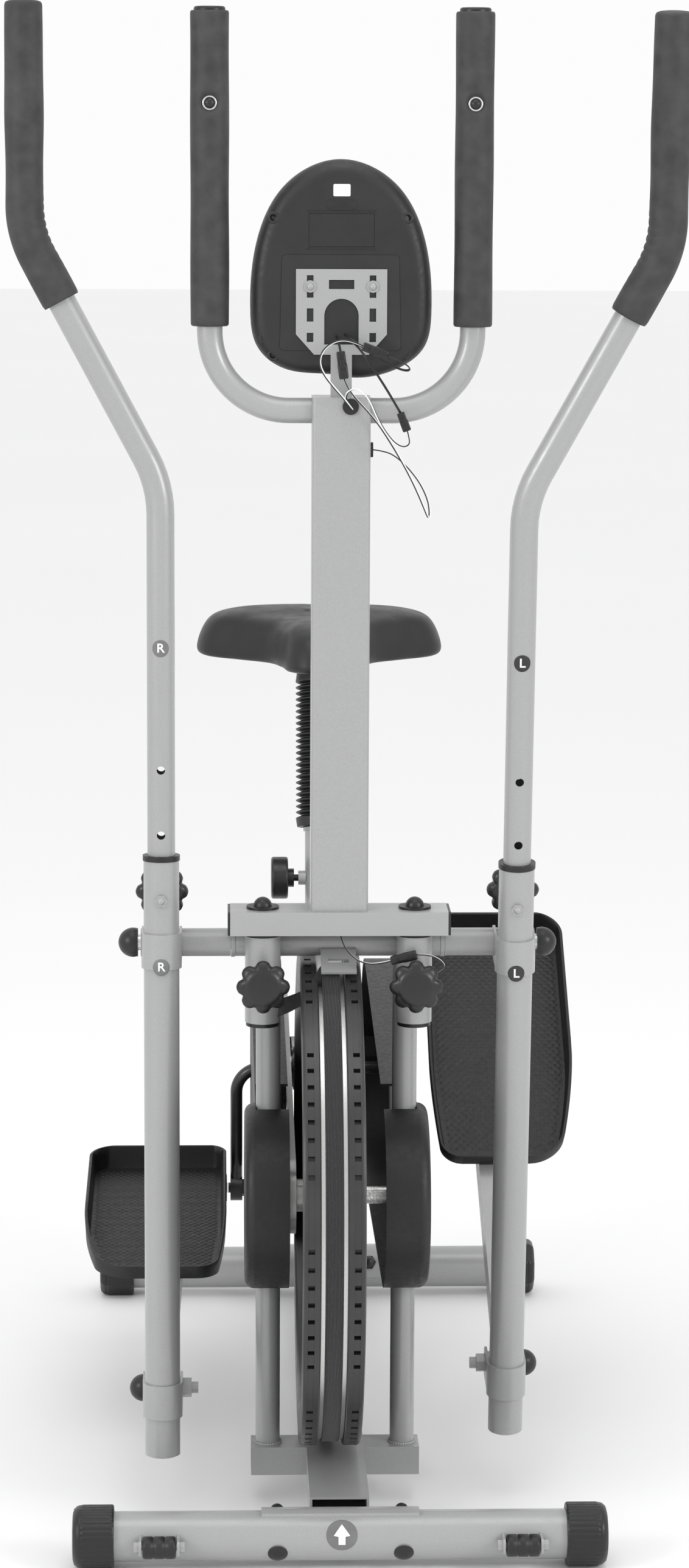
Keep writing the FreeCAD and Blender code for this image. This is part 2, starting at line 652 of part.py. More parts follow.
def fixed_handlebar():
    """A U-shaped tube whose two legs stand either side of the console."""
    z = handlebar_z()
    points = [vec(-HANDLEBAR_X, FRONT_Y, HANDLEBAR_TOP_Z), vec(-HANDLEBAR_X, FRONT_Y, z),
              vec(HANDLEBAR_X, FRONT_Y, z), vec(HANDLEBAR_X, FRONT_Y, HANDLEBAR_TOP_Z)]
    bar = bent_tube(points, [HANDLEBAR_BEND] * 2, HANDLEBAR_D, HANDLEBAR_D - 2 * HANDLEBAR_WALL)
    for x in (-HANDLEBAR_X, HANDLEBAR_X):
        bar = bar.cut(rod(vec(x, FRONT_Y - 30, GRIP_SCREW_Z), vec(x, FRONT_Y, GRIP_SCREW_Z), 5))
    return [bar]


def fixed_grips():
    solids = []
    for x in (-HANDLEBAR_X, HANDLEBAR_X):
        foam = tube(vec(x, FRONT_Y, GRIP_BOTTOM_Z), vec(x, FRONT_Y, HANDLEBAR_TOP_Z), GRIP_D, HANDLEBAR_D)
        solids.append(foam.cut(rod(vec(x, FRONT_Y - 30, GRIP_SCREW_Z), vec(x, FRONT_Y, GRIP_SCREW_Z), 12)))
    return solids


# ---- console -----------------------------------------------------------------------------------
def console_outline(inset, y):
    """An egg-shaped wire: a wide flat bottom with round corners, and a nearly round top."""
    half = CONSOLE_W / 2 - inset
    bottom = CONSOLE_BOTTOM_Z + inset
    top = CONSOLE_TOP_Z - inset
    waist = CONSOLE_BOTTOM_Z + 0.30 * (CONSOLE_TOP_Z - CONSOLE_BOTTOM_Z)
    points = [vec(0, y, bottom), vec(half * 0.62, y, bottom + 7), vec(half * 0.93, y, bottom + 30),
              vec(half, y, waist), vec(half * 0.93, y, bottom + 0.62 * (top - bottom)),
              vec(half * 0.62, y, bottom + 0.88 * (top - bottom)), vec(0, y, top)]
    mirror = [vec(-p.x, p.y, p.z) for p in reversed(points[1:-1])]
    curve = Part.BSplineCurve()
    curve.interpolate(points + mirror, PeriodicFlag=True)
    return Part.Wire(curve.toShape())


def console_slice(inset, y0, y1):
    return Part.Face(console_outline(inset, y0)).extrude(vec(0, y1 - y0, 0))


CONSOLE_Y = FRONT_Y + PLATE_T / 2          # back face of the console
SPLIT_Y = CONSOLE_Y + CONSOLE_BACK_DEPTH
FACE_Y = SPLIT_Y + CONSOLE_FACE_DEPTH


def console_back():
    """The back shell, with the opening that the battery door closes."""
    shell = console_slice(0, CONSOLE_Y, SPLIT_Y)
    rim = [e for e in shell.Edges if e.BoundBox.YMax < CONSOLE_Y + 0.5]
    shell = shell.makeFillet(CONSOLE_ROUND, rim)
    inner_y = CONSOLE_Y + CONSOLE_WALL
    core = console_slice(CONSOLE_WALL, inner_y, SPLIT_Y + 1)
    rim = [e for e in core.Edges if e.BoundBox.YMax < inner_y + 0.5]
    shell = shell.cut(core.makeFillet(CONSOLE_ROUND - CONSOLE_WALL, rim))
    door = block(-DOOR_W / 2 - GAP, DOOR_W / 2 + GAP, CONSOLE_Y - 1, CONSOLE_Y + CONSOLE_WALL + 1,
                 DOOR_Z - GAP, DOOR_Z + DOOR_H + GAP)
    port = rod(vec(0, CONSOLE_Y - 1, WIRE_PORT_Z), vec(0, CONSOLE_Y + CONSOLE_WALL + 1, WIRE_PORT_Z), 26)
    return [shell.cut(door).cut(port)]


WIRE_PORT_Z = 1216.0


def console_face():
    """The front shell, with the display window and the button hole."""
    shell = console_slice(0.6, SPLIT_Y, FACE_Y)
    shell = shell.cut(console_slice(CONSOLE_WALL + 0.6, SPLIT_Y - 1, FACE_Y - CONSOLE_WALL))
    window = block(-SCREEN_W / 2, SCREEN_W / 2, SPLIT_Y, FACE_Y + 1, SCREEN_Z - SCREEN_H / 2,
                   SCREEN_Z + SCREEN_H / 2)
    hole = rod(vec(0, SPLIT_Y, BUTTON_Z), vec(0, FACE_Y + 1, BUTTON_Z), BUTTON_D + 2 * GAP)
    return [shell.cut(window).cut(hole)]


def console_screen():
    """The display glass, and the circuit board that stands on bosses in the back shell."""
    glass = block(-SCREEN_W / 2, SCREEN_W / 2, FACE_Y - 4, FACE_Y - 1, SCREEN_Z - SCREEN_H / 2,
                  SCREEN_Z + SCREEN_H / 2)
    board_y = SPLIT_Y - 8
    board = block(-60, 60, board_y, board_y + 1.6, CONSOLE_BOTTOM_Z + 25, CONSOLE_TOP_Z - 40)
    solids = [glass, board]
    for x in (-52, 52):
        for z in (CONSOLE_BOTTOM_Z + 50, CONSOLE_TOP_Z - 60):
            solids.append(rod(vec(x, CONSOLE_Y + CONSOLE_WALL, z), vec(x, board_y, z), 7))
    module = block(-SCREEN_W / 2 + 4, SCREEN_W / 2 - 4, board_y + 1.6, FACE_Y - 4, SCREEN_Z - SCREEN_H / 2 + 4,
                   SCREEN_Z + SCREEN_H / 2 - 4)
    return solids + [module]


def battery_door():
    """A flat lid with a latch tongue, hinged along its lower edge."""
    lid = block(-DOOR_W / 2, DOOR_W / 2, CONSOLE_Y, CONSOLE_Y + DOOR_T, DOOR_Z, DOOR_Z + DOOR_H)
    return [lid]


def mode_button():
    """One round key that presses in through the face."""
    tip = FACE_Y + 2.5
    return [rod(vec(0, FACE_Y - 5, BUTTON_Z), vec(0, tip, BUTTON_Z), BUTTON_D)]


def console_bracket():
    """The slotted steel plate behind the console and the tongue that stands on the post."""
    y0 = FRONT_Y - PLATE_T / 2
    half = PLATE_W / 2
    top = PLATE_BOTTOM_Z + PLATE_H
    corners = [vec(-half, y0, PLATE_BOTTOM_Z + 20), vec(-half * 0.6, y0, PLATE_BOTTOM_Z),
               vec(half * 0.6, y0, PLATE_BOTTOM_Z), vec(half, y0, PLATE_BOTTOM_Z + 20), vec(half, y0, top),
               vec(-half, y0, top)]
    plate = slab(corners, vec(0, PLATE_T, 0))
    tongue = block(-TONGUE_W / 2, TONGUE_W / 2, y0, y0 + PLATE_T, POST_TOP_Z, PLATE_BOTTOM_Z + 6)
    plate = plate.fuse(tongue)
    plate = plate.cut(bracket_slot(0, top - 15, 25, 9))
    arch = block(-17, 17, y0 - 1, y0 + PLATE_T + 1, PLATE_BOTTOM_Z + 10, PLATE_BOTTOM_Z + 38)
    arch = arch.fuse(rod(vec(0, y0 - 1, PLATE_BOTTOM_Z + 38), vec(0, y0 + PLATE_T + 1, PLATE_BOTTOM_Z + 38), 34))
    plate = plate.cut(arch)
    for x in (-31, 31):
        for z, height in ((top - 17, 22), (top - 45, 13), (top - 67, 9)):
            plate = plate.cut(bracket_slot(x, z, 6.5, height))
    screws = []
    for x in (-31, 31):
        start = vec(x, y0 - 1.2, top - 17)
        screws.append(rod(vec(x, y0, top - 17), start, 12).fuse(dome(start, vec(0, -1, 0), 8, 3)))
    return [plate] + screws


def bracket_slot(x, z, width, height):
    y0 = FRONT_Y - PLATE_T
    return block(x - width / 2, x + width / 2, y0, y0 + 2 * PLATE_T, z - height / 2, z + height / 2)


# ---- knobs ---------------------------------------------------------------------------------------
def star_knob(face, along, tip_depth):
    """A lobed hand knob whose stem stands on face; its screw reaches tip_depth past the face."""
    disc = Part.makeCylinder(KNOB_D / 2, KNOB_T - 8, vec(0, 0, 8))
    disc = disc.common(Part.makeSphere(KNOB_D * 0.62, vec(0, 0, 2)))
    for k in range(KNOB_LOBES):
        angle = 2 * math.pi * k / KNOB_LOBES
        reach = KNOB_D / 2 + 3.5
        disc = disc.cut(Part.makeCylinder(6.5, KNOB_T + 2, vec(reach * math.cos(angle), reach * math.sin(angle), 0)))
    stem = Part.makeCylinder(KNOB_STEM_D / 2, 9, vec(0, 0, 0))
    screw = Part.makeCylinder(KNOB_SCREW_D / 2, tip_depth + 1, vec(0, 0, -tip_depth))
    knob = disc.fuse(stem).fuse(screw)
    knob.Placement = FreeCAD.Placement(face, FreeCAD.Rotation(vec(0, 0, 1), along))
    return knob


def post_knob(side):
    """The hand knob on the front of one socket."""
    face = FRONT_Y - SOCKET_D / 2 - BOSS_L - GAP
    depth = BOSS_L + GAP + SOCKET_D / 2 - SPIGOT_D / 2 - GAP
    return [star_knob(vec(side * SOCKET_X, face, post_knob_z()), vec(0, -1, 0), depth)]


# ---- flywheel and brake --------------------------------------------------------------------------
def revolve_about_axle(profile):
    """Turns a closed outline of (x, radius) points round the flywheel axle."""
    corners = [vec(x, FORK_Y, WHEEL_Z + radius) for x, radius in profile]
    face = Part.Face(Part.makePolygon(corners + corners[:1]))
    return face.revolve(vec(0, FORK_Y, WHEEL_Z), vec(1, 0, 0), 360)


def flywheel_shell():
    """The wheel body: a thick rim with a belt groove, on a thinner web."""
    half = WHEEL_W / 2
    groove = GROOVE_W / 2
    floor = WHEEL_R - GROOVE_DEPTH - BAND_T
    web = WEB_T / 2
    rim = WHEEL_R - RIM_DEPTH
    hub = WHEEL_HUB_D / 2
    x = WHEEL_X
    profile = [(x - web, hub), (x - web, rim - 24), (x - half + 3, rim), (x - half, rim + 6),
               (x - half, WHEEL_R - 3), (x - half + 3, WHEEL_R), (x - groove, WHEEL_R), (x - groove, floor),
               (x + groove, floor), (x + groove, WHEEL_R), (x + half - 3, WHEEL_R), (x + half, WHEEL_R - 3),
               (x + half, rim + 6), (x + half - 3, rim), (x + web, rim - 24), (x + web, hub)]
    return [revolve_about_axle(profile)]


def flywheel_band():
    """The bright steel band in the bottom of the groove, on which the belt rubs."""
    half = GROOVE_W / 2
    outer = WHEEL_R - GROOVE_DEPTH
    x = WHEEL_X
    return [revolve_about_axle([(x - half, outer - BAND_T), (x - half, outer), (x + half, outer),
                                (x + half, outer - BAND_T)])]


def sprocket(teeth, x, y, z, bore, thickness):
    """A toothed disc: a round blank with a round gullet between each two teeth."""
    pitch_r = CHAIN_PITCH / 2 / math.sin(math.pi / teeth)
    blank = x_rod(x - thickness / 2, x + thickness / 2, y, z, 2 * (pitch_r + 2.6))
    gullets = []
    for k in range(teeth):
        angle = 2 * math.pi * (k + 0.5) / teeth
        gullets.append(x_rod(x - thickness, x + thickness, y + (pitch_r + 0.6) * math.cos(angle),
                             z + (pitch_r + 0.6) * math.sin(angle), 7.4))
    blank = blank.cut(Part.makeCompound(gullets))
    return blank.cut(x_rod(x - thickness, x + thickness, y, z, bore))


def flywheel_hub():
    """The hub barrel, its two bearings and the freewheel sprocket."""
    half = WHEEL_W / 2 - 6
    bore = WHEEL_AXLE_D + 2 * FIT
    barrel = x_tube(WHEEL_X - half, WHEEL_X + half, FORK_Y, WHEEL_Z, WHEEL_HUB_D, 28)
    solids = [barrel]
    for side in (-1, 1):
        x = WHEEL_X + side * (half - 5)
        solids.append(x_tube(x - 5, x + 5, FORK_Y, WHEEL_Z, 28, bore))
    solids.append(sprocket(FREEWHEEL_TEETH, CHAIN_X, FORK_Y, WHEEL_Z, 34, 3))
    carrier_in = WHEEL_X - half
    solids.append(x_tube(CHAIN_X - 1.5, carrier_in, FORK_Y, WHEEL_Z, 34, 20))
    return solids


def belt_lug_y():
    """Where the beam's lug holds the spring at the belt's rear end."""
    return FORK_Y + 230


def arc_of_belt(radius, start_deg, end_deg):
    """Part of a ring round the flywheel; 0 degrees is to the rear and 90 is up."""
    ring = x_tube(WHEEL_X - BELT_W / 2, WHEEL_X + BELT_W / 2, FORK_Y, WHEEL_Z, 2 * (radius + BELT_T), 2 * radius)
    reach = radius * 2
    count = 12
    fan = [vec(WHEEL_X - BELT_W, FORK_Y, WHEEL_Z)]
    for k in range(count + 1):
        angle = math.radians(start_deg + (end_deg - start_deg) * k / count)
        fan.append(vec(WHEEL_X - BELT_W, FORK_Y + reach * math.cos(angle), WHEEL_Z + reach * math.sin(angle)))
    return ring.common(slab(fan, vec(2 * BELT_W, 0, 0)))


def belt_run(start, end):
    """A flat straight run of belt between two points of its inner face."""
    along = (end - start).normalize()
    normal = vec(0, -along.z, along.y)
    return slab([start, end, end + normal * BELT_T, start + normal * BELT_T], vec(BELT_W, 0, 0))


BELT_TOP_DEG = 112.0


def brake_belt():
    """The webbing belt: from the plate round the front and under the wheel, to the spring."""
    radius = WHEEL_R - GROOVE_DEPTH + GAP
    wrap = arc_of_belt(radius, BELT_TOP_DEG, 270)
    x0 = WHEEL_X - BELT_W / 2
    angle = math.radians(BELT_TOP_DEG)
    lift = vec(x0, FORK_Y + (radius + BELT_T) * math.cos(angle), WHEEL_Z + (radius + BELT_T) * math.sin(angle))
    plate_at = vec(x0, PIVOT_Y - CROSS_TUBE_D / 2 - 17, PIVOT_Z - 16.5)
    top = belt_run(plate_at, lift)
    bottom_z = WHEEL_Z - radius
    low = slab([vec(x0, FORK_Y, bottom_z), vec(x0, FORK_Y, bottom_z - BELT_T),
                vec(x0, belt_lug_y() - 40, bottom_z - BELT_T), vec(x0, belt_lug_y() - 40, bottom_z)],
               vec(BELT_W, 0, 0))
    return [wrap.fuse(low).fuse(top)]


def belt_spring():
    """A short steel spring, as a thick-walled sleeve, with the clamp that grips the belt's end."""
    z = WHEEL_Z - WHEEL_R + GROOVE_DEPTH - GAP - BELT_T / 2
    end = belt_lug_y() - 40
    clamp = block(WHEEL_X - BELT_W / 2 - 2, WHEEL_X + BELT_W / 2 + 2, end, end + 9, z - 4, z + 4)
    coil = tube(vec(WHEEL_X, end + 9, z), vec(WHEEL_X, belt_lug_y() - 4, z), 9, 6)
    hook = block(WHEEL_X - 1.5, WHEEL_X + 1.5, belt_lug_y() - 4, belt_lug_y(), z - 3, z + 3)
    return [clamp, coil, hook]


# ---- crank and chain -------------------------------------------------------------------------------
def bottom_bracket():
    """The shell that carries the crank, with its two bearing cups."""
    shell = x_tube(-SHELL_HALF, SHELL_HALF, CRANK_Y, CRANK_Z, SHELL_D, SHELL_D - 6)
    cup = x_tube(SHELL_HALF - BEARING_T, SHELL_HALF + 1.5, CRANK_Y, CRANK_Z, SHELL_D - 6, CRANK_ROD_D + 2 * FIT)
    return [shell] + both_sides(cup)


def crank():
    """One forged rod: axle, two arms half a turn apart, and an eye with a bolt end on each."""
    angle = math.radians(CRANK_REST_DEG)
    down_y = CRANK_RADIUS * math.sin(angle)
    down_z = -CRANK_RADIUS * math.cos(angle)
    right_eye = vec(-CRANK_ARM_X, CRANK_Y + down_y, CRANK_Z + down_z)
    left_eye = vec(CRANK_ARM_X, CRANK_Y - down_y, CRANK_Z - down_z)
    points = [right_eye, vec(-CRANK_ARM_X, CRANK_Y, CRANK_Z), vec(CRANK_ARM_X, CRANK_Y, CRANK_Z), left_eye]
    body = bent_rod(points, [CRANK_BEND_R] * 2, CRANK_ROD_D)
    for eye, side in ((right_eye, -1), (left_eye, 1)):
        inner = side * (CRANK_ARM_X - CRANK_ROD_D / 2)
        outer = side * (CRANK_ARM_X + CRANK_ROD_D / 2)
        body = body.fuse(x_rod(inner, outer, eye.y, eye.z, EYE_D))
        body = body.fuse(x_rod(outer, side * EYE_BOLT_END_X, eye.y, eye.z, PIVOT_BOLT_D))
        nut = hexagon(vec(inner, eye.y, eye.z), vec(-side, 0, 0), 18, 6)
        body = body.fuse(nut)
    return [body]


def chainring():
    """The large sprocket and the drive pin plate on the crank's right side."""
    ring = sprocket(CHAINRING_TEETH, CHAIN_X, CRANK_Y, CRANK_Z, 24, 3)
    for k in range(5):
        angle = 2 * math.pi * k / 5
        ring = ring.cut(x_rod(CHAIN_X - 5, CHAIN_X + 5, CRANK_Y + 52 * math.cos(angle),
                              CRANK_Z + 52 * math.sin(angle), 34))
    boss = x_tube(CHAIN_X - 4, CHAIN_X + 4, CRANK_Y, CRANK_Z, 24, CRANK_ROD_D)
    return [ring, boss]


def chain():
    """The roller chain as a plain closed band round both sprockets."""
    small = CHAIN_PITCH / 2 / math.sin(math.pi / FREEWHEEL_TEETH)
    large = CHAIN_PITCH / 2 / math.sin(math.pi / CHAINRING_TEETH)
    clear = 2.6 + GAP
    outer = belt_shape(small + clear + CHAIN_H / 2, large + clear + CHAIN_H / 2, CHAIN_X - CHAIN_W / 2, CHAIN_W)
    inner = belt_shape(small + clear, large + clear, CHAIN_X - CHAIN_W, 2 * CHAIN_W)
    return [outer.cut(inner)]


def belt_shape(front_r, rear_r, x0, width):
    """A slab whose outline is two circles, at the flywheel axle and the crank, and their tangents."""
    span = CRANK_Y - FORK_Y
    rise = CRANK_Z - WHEEL_Z
    reach = math.hypot(span, rise)
    slope = math.atan2(rise, span)
    spread = math.asin((rear_r - front_r) / reach)
    upper = slope + math.pi / 2 + spread
    lower = slope - math.pi / 2 - spread
    front = vec(x0, FORK_Y, WHEEL_Z)
    rear = vec(x0, CRANK_Y, CRANK_Z)

    def at(centre, radius, angle):
        return centre + vec(0, radius * math.cos(angle), radius * math.sin(angle))

    edges = [Part.LineSegment(at(front, front_r, upper), at(rear, rear_r, upper)).toShape(),
             Part.Arc(at(rear, rear_r, upper), at(rear, rear_r, slope), at(rear, rear_r, lower)).toShape(),
             Part.LineSegment(at(rear, rear_r, lower), at(front, front_r, lower)).toShape(),
             Part.Arc(at(front, front_r, lower), at(front, front_r, slope + math.pi),
                      at(front, front_r, upper)).toShape()]
    return Part.Face(Part.Wire(edges)).extrude(vec(width, 0, 0))


def chain_cover():
    """The left cover: a shell open towards the wheel, bulged at the front round the fork tube."""
    wall = COVER_WALL
    shell = belt_shape(COVER_FRONT_R, COVER_REAR_R, COVER_INNER_X, COVER_REAR_X - COVER_INNER_X)
    bulge = x_rod(COVER_INNER_X, COVER_FRONT_X, FORK_Y, WHEEL_Z, 2 * COVER_FRONT_R)
    edge = [e for e in bulge.Edges if e.BoundBox.XMin > COVER_FRONT_X - 1]
    shell = shell.fuse(bulge.makeFillet(10, edge))
    core = belt_shape(COVER_FRONT_R - wall, COVER_REAR_R - wall, COVER_INNER_X - 1,
                      COVER_REAR_X - COVER_INNER_X + 1 - wall)
    core = core.fuse(x_rod(COVER_INNER_X - 1, COVER_FRONT_X - wall, FORK_Y, WHEEL_Z,
                           2 * (COVER_FRONT_R - wall - 6)))
    shell = shell.cut(core)
    clear = FORK_TUBE_D / 2 + GAP
    notch = block(COVER_INNER_X - 1, FORK_X + clear, FORK_Y - clear, FORK_Y + 70, WHEEL_Z + 40,
                  WHEEL_Z + COVER_REAR_R)
    shell = shell.cut(notch)
    passage = rod(vec(FORK_X, FORK_Y, WHEEL_Z - 150), vec(FORK_X, FORK_Y, WHEEL_Z), FORK_TUBE_D + 2 * GAP)
    hub = x_rod(COVER_INNER_X, COVER_FRONT_X + 1, CRANK_Y, CRANK_Z, 2 * (CRANK_ROD_D / 2 + 6))
    return shell.cut(passage).cut(hub)


def cover_mounts():
    """A bent strip each side that ties the cover to the bottom bracket shell, behind the chain."""
    rear = CRANK_Y + COVER_REAR_R - 18
    strip = block(SHELL_HALF - 4, SHELL_HALF, CRANK_Y, rear, CRANK_Z - 12, CRANK_Z + 12)
    strip = strip.cut(x_rod(0, SHELL_HALF + 1, CRANK_Y, CRANK_Z, SHELL_D))
    strip = strip.cut(block(0, SHELL_HALF + 1, 0, CRANK_Y, 0, 1000))
    arm = block(SHELL_HALF, COVER_REAR_X - COVER_WALL, rear - 4, rear, CRANK_Z - 12, CRANK_Z + 12)
    return both_sides(strip.fuse(arm))


# ---- seat ----------------------------------------------------------------------------------------------
def on_seat_line(z):
    """The point of the seat tube's axis at height z."""
    y = CRANK_Y + SEAT_TUBE_BEHIND + (z - CRANK_Z) * math.tan(math.radians(SEAT_LEAN))
    return vec(0, y, z)


def seat_tube():
    """The leaning tube that carries the seat post, and the tongue that ties it to the crank shell."""
    low = on_seat_line(BEAM_TOP - 20)
    top = on_seat_line(SEAT_TUBE_TOP_Z)
    body = tube(low, top, SEAT_TUBE_D, SEAT_TUBE_D - 2 * SEAT_TUBE_WALL)
    body = body.cut(block(-100, 100, 0, 1500, -100, BEAM_TOP))
    boss_at = on_seat_line(SEAT_KNOB_Z)
    boss = rod(boss_at + vec(-SEAT_TUBE_D / 2 + 1, 0, 0), boss_at + vec(-SEAT_TUBE_D / 2 - BOSS_L, 0, 0), BOSS_D)
    body = body.fuse(boss).cut(x_rod(-60, -SEAT_TUBE_D / 2 + SEAT_TUBE_WALL + 1, boss_at.y, boss_at.z,
                                     KNOB_SCREW_D + 2 * FIT))
    bush_in = SEAT_POST_D + 2 * FIT
    bush_out = SEAT_TUBE_D - 2 * SEAT_TUBE_WALL
    bush = tube(on_seat_line(SEAT_TUBE_TOP_Z - 34), top, bush_out, bush_in)
    flange = tube(top, top + SEAT_DIR * 4, SEAT_TUBE_D + 4, bush_in)
    web = block(-3, 3, CRANK_Y, CRANK_Y + SEAT_TUBE_BEHIND, CRANK_Z - 22, CRANK_Z + 22)
    web = web.cut(x_rod(-50, 50, CRANK_Y, CRANK_Z, SHELL_D))
    web = web.cut(rod(low, top, SEAT_TUBE_D))
    return [body, bush.fuse(flange), web]


def seat_knob():
    """A plain round knob on the right of the seat tube."""
    at = on_seat_line(SEAT_KNOB_Z)
    face = -SEAT_TUBE_D / 2 - BOSS_L - GAP
    tip = -SEAT_POST_D / 2 - GAP
    screw = x_rod(face - 10, tip, at.y, at.z, KNOB_SCREW_D)
    collar = x_rod(face - 13, face - 5, at.y, at.z, 22)
    disc = x_rod(face - 13 - SEAT_KNOB_T, face - 12, at.y, at.z, SEAT_KNOB_D)
    disc = disc.makeFillet(3, [e for e in disc.Edges if e.Length > 50])
    return [screw.fuse(collar).fuse(disc)]


def seat_post():
    """The sliding post and the steel plate that the seat is screwed to."""
    top = on_seat_line(SEAT_BASE_Z - 1)
    low = on_seat_line(SEAT_TUBE_TOP_Z) - SEAT_DIR * 70
    post = tube(low, top, SEAT_POST_D, SEAT_POST_D - 4)
    post = post.cut(block(-50, 50, 0, 2000, SEAT_BASE_Z - 2, SEAT_BASE_Z + 90))
    plate = block(-40, 40, top.y - 55, top.y + 55, SEAT_BASE_Z - SEAT_PLATE_T, SEAT_BASE_Z)
    return [post.fuse(plate)]


def seat_cushion():
    """The saddle: a blunt nose to the front, broad at the back, with a crowned top."""
    centre_y = on_seat_line(SEAT_BASE_Z).y
    front = centre_y - SEAT_LENGTH * 0.52
    rear = front + SEAT_LENGTH
    half = SEAT_WIDTH / 2
    points = [vec(0, front, 0), vec(34, front + 12, 0), vec(52, front + 60, 0), vec(96, front + 125, 0),
              vec(half, rear - 95, 0), vec(half - 4, rear - 40, 0), vec(half * 0.72, rear - 6, 0),
              vec(0, rear, 0)]
    mirror = [vec(-p.x, p.y, p.z) for p in reversed(points[1:-1])]
    curve = Part.BSplineCurve()
    curve.interpolate(points + mirror, PeriodicFlag=True)
    body = Part.Face(Part.Wire(curve.toShape())).extrude(vec(0, 0, SEAT_THICK))
    body.translate(vec(0, 0, SEAT_BASE_Z))
    return [body.makeFillet(18, [e for e in body.Edges if e.BoundBox.ZMin > SEAT_BASE_Z + SEAT_THICK - 1])]


def seat_boot():
    """The folded rubber boot round the seat post, as a plain sleeve."""
    low = on_seat_line(SEAT_TUBE_TOP_Z) + SEAT_DIR * 5
    tilt_rise = BOOT_D / 2 * math.sin(math.radians(SEAT_LEAN))
    top = on_seat_line(SEAT_BASE_Z - SEAT_PLATE_T - tilt_rise - 2)
    return [tube(low, top, BOOT_D, SEAT_POST_D + 8)]


# ---- arms ----------------------------------------------------------------------------------------------
def arm_frame(shapes, side):
    """Puts pieces made with the arm upright and its pivot at the origin onto one side."""
    tilt = REST[side][0]
    placed = []
    for shape in shapes:
        piece = shape if side > 0 else other_side(shape)
        piece = piece.copy()
        piece.rotate(vec(0, 0, 0), vec(1, 0, 0), tilt)
        piece.translate(vec(0, PIVOT_Y, PIVOT_Z))
        placed.append(piece)
    return placed


def arm_line(z):
    return vec(ARM_X, -ARM_SETBACK, z)


def arm_cup(z, bore):
    """A U-shaped strap round the front of the arm tube, whose ears reach back to the pivot."""
    half = CUP_W / 2
    low = z - CUP_H * 0.55
    high = z + CUP_H * 0.45
    outer = rod(arm_line(low), arm_line(high), CUP_W)
    ears = block(ARM_X - half, ARM_X + half, -ARM_SETBACK, 13, low + 4, high)
    ears = round_edges(ears, 10, lambda e: is_along(e, vec(1, 0, 0)) and e.BoundBox.YMin > 0)
    strap = outer.fuse(ears)
    gap = block(ARM_X - ARM_TUBE_D / 2, ARM_X + ARM_TUBE_D / 2, -ARM_SETBACK, 40, low - 1, high + 1)
    strap = strap.cut(rod(arm_line(low - 1), arm_line(high + 1), ARM_TUBE_D)).cut(gap)
    return strap.cut(x_rod(ARM_X - half - 5, ARM_X + half + 5, 0, z, bore))


def lower_arm(side):
    """The lower tube, its hub on the pivot shaft, its two straps and its height-knob boss."""
    inner = ARM_TUBE_D - 2 * ARM_WALL
    body = tube(arm_line(ARM_BOTTOM), arm_line(ARM_TOP), ARM_TUBE_D, inner)
    plug = rod(arm_line(ARM_BOTTOM - 1), arm_line(ARM_BOTTOM + 14), inner)
    back = -ARM_SETBACK + ARM_TUBE_D / 2
    boss = rod(vec(ARM_X, back - 1, ARM_KNOB_UP), vec(ARM_X, back + BOSS_L, ARM_KNOB_UP), BOSS_D)
    boss = boss.cut(rod(arm_line(0), arm_line(200), inner))
    body = body.fuse(boss).cut(rod(vec(ARM_X, back - 4, ARM_KNOB_UP), vec(ARM_X, back + 30, ARM_KNOB_UP),
                                   KNOB_SCREW_D + 2 * FIT))
    front = -ARM_SETBACK - ARM_TUBE_D / 2
    stud = hexagon(vec(ARM_X, front + 0.3, ARM_KNOB_UP), vec(0, -1, 0), 11, 4)
    stud = stud.fuse(dome(vec(ARM_X, front - 3.5, ARM_KNOB_UP), vec(0, -1, 0), 8, 3))
    stud = stud.cut(rod(arm_line(0), arm_line(200), ARM_TUBE_D))
    hub = x_tube(HUB_INNER_X, HUB_OUTER_X, 0, 0, CROSS_TUBE_D, 20)
    bushes = [x_tube(x0, x0 + 18, 0, 0, 20, SHAFT_D + 2 * FIT) for x0 in (HUB_INNER_X, HUB_OUTER_X - 18)]
    upper_cup = arm_cup(0, CROSS_TUBE_D)
    low_z = -ARM_LENGTH
    lower_cup = arm_cup(low_z, PIVOT_BOLT_D)
    half = CUP_W / 2
    bolt = x_rod(ARM_X - half - 16, ARM_X + half + 2, 0, low_z, PIVOT_BOLT_D)
    nut = hexagon(vec(ARM_X - half, 0, low_z), vec(-1, 0, 0), 18, 9)
    nut = nut.cut(x_rod(ARM_X - half - 20, ARM_X, 0, low_z, PIVOT_BOLT_D))
    return arm_frame([body, plug, stud, hub, upper_cup, lower_cup, bolt, nut] + bushes, side)


def arm_collar(side):
    """The black plastic bush in the top of the lower tube, and the cap on the foot-bar bolt."""
    inner = ARM_TUBE_D - 2 * ARM_WALL
    bore = UPPER_TUBE_D + 2 * FIT
    flange = tube(arm_line(ARM_TOP), arm_line(ARM_TOP + COLLAR_FLANGE_T), COLLAR_FLANGE_D, bore)
    sleeve = tube(arm_line(ARM_KNOB_UP + 10), arm_line(ARM_TOP + 1), inner, bore)
    cap_x = ARM_X + CUP_W / 2
    cap = dome(vec(cap_x, 0, -ARM_LENGTH), vec(1, 0, 0), 28, 14)
    cap = cap.cut(x_rod(ARM_X, cap_x + 2, 0, -ARM_LENGTH, PIVOT_BOLT_D))
    return arm_frame([flange.fuse(sleeve), cap], side)


def arm_knob(side):
    """The hand knob behind the lower tube, which clamps the upper tube."""
    face = -ARM_SETBACK + ARM_TUBE_D / 2 + BOSS_L + GAP
    depth = BOSS_L + GAP + ARM_TUBE_D / 2 - UPPER_TUBE_D / 2 - GAP
    return arm_frame([star_knob(vec(ARM_X, face, ARM_KNOB_UP), vec(0, 1, 0), depth)], side)


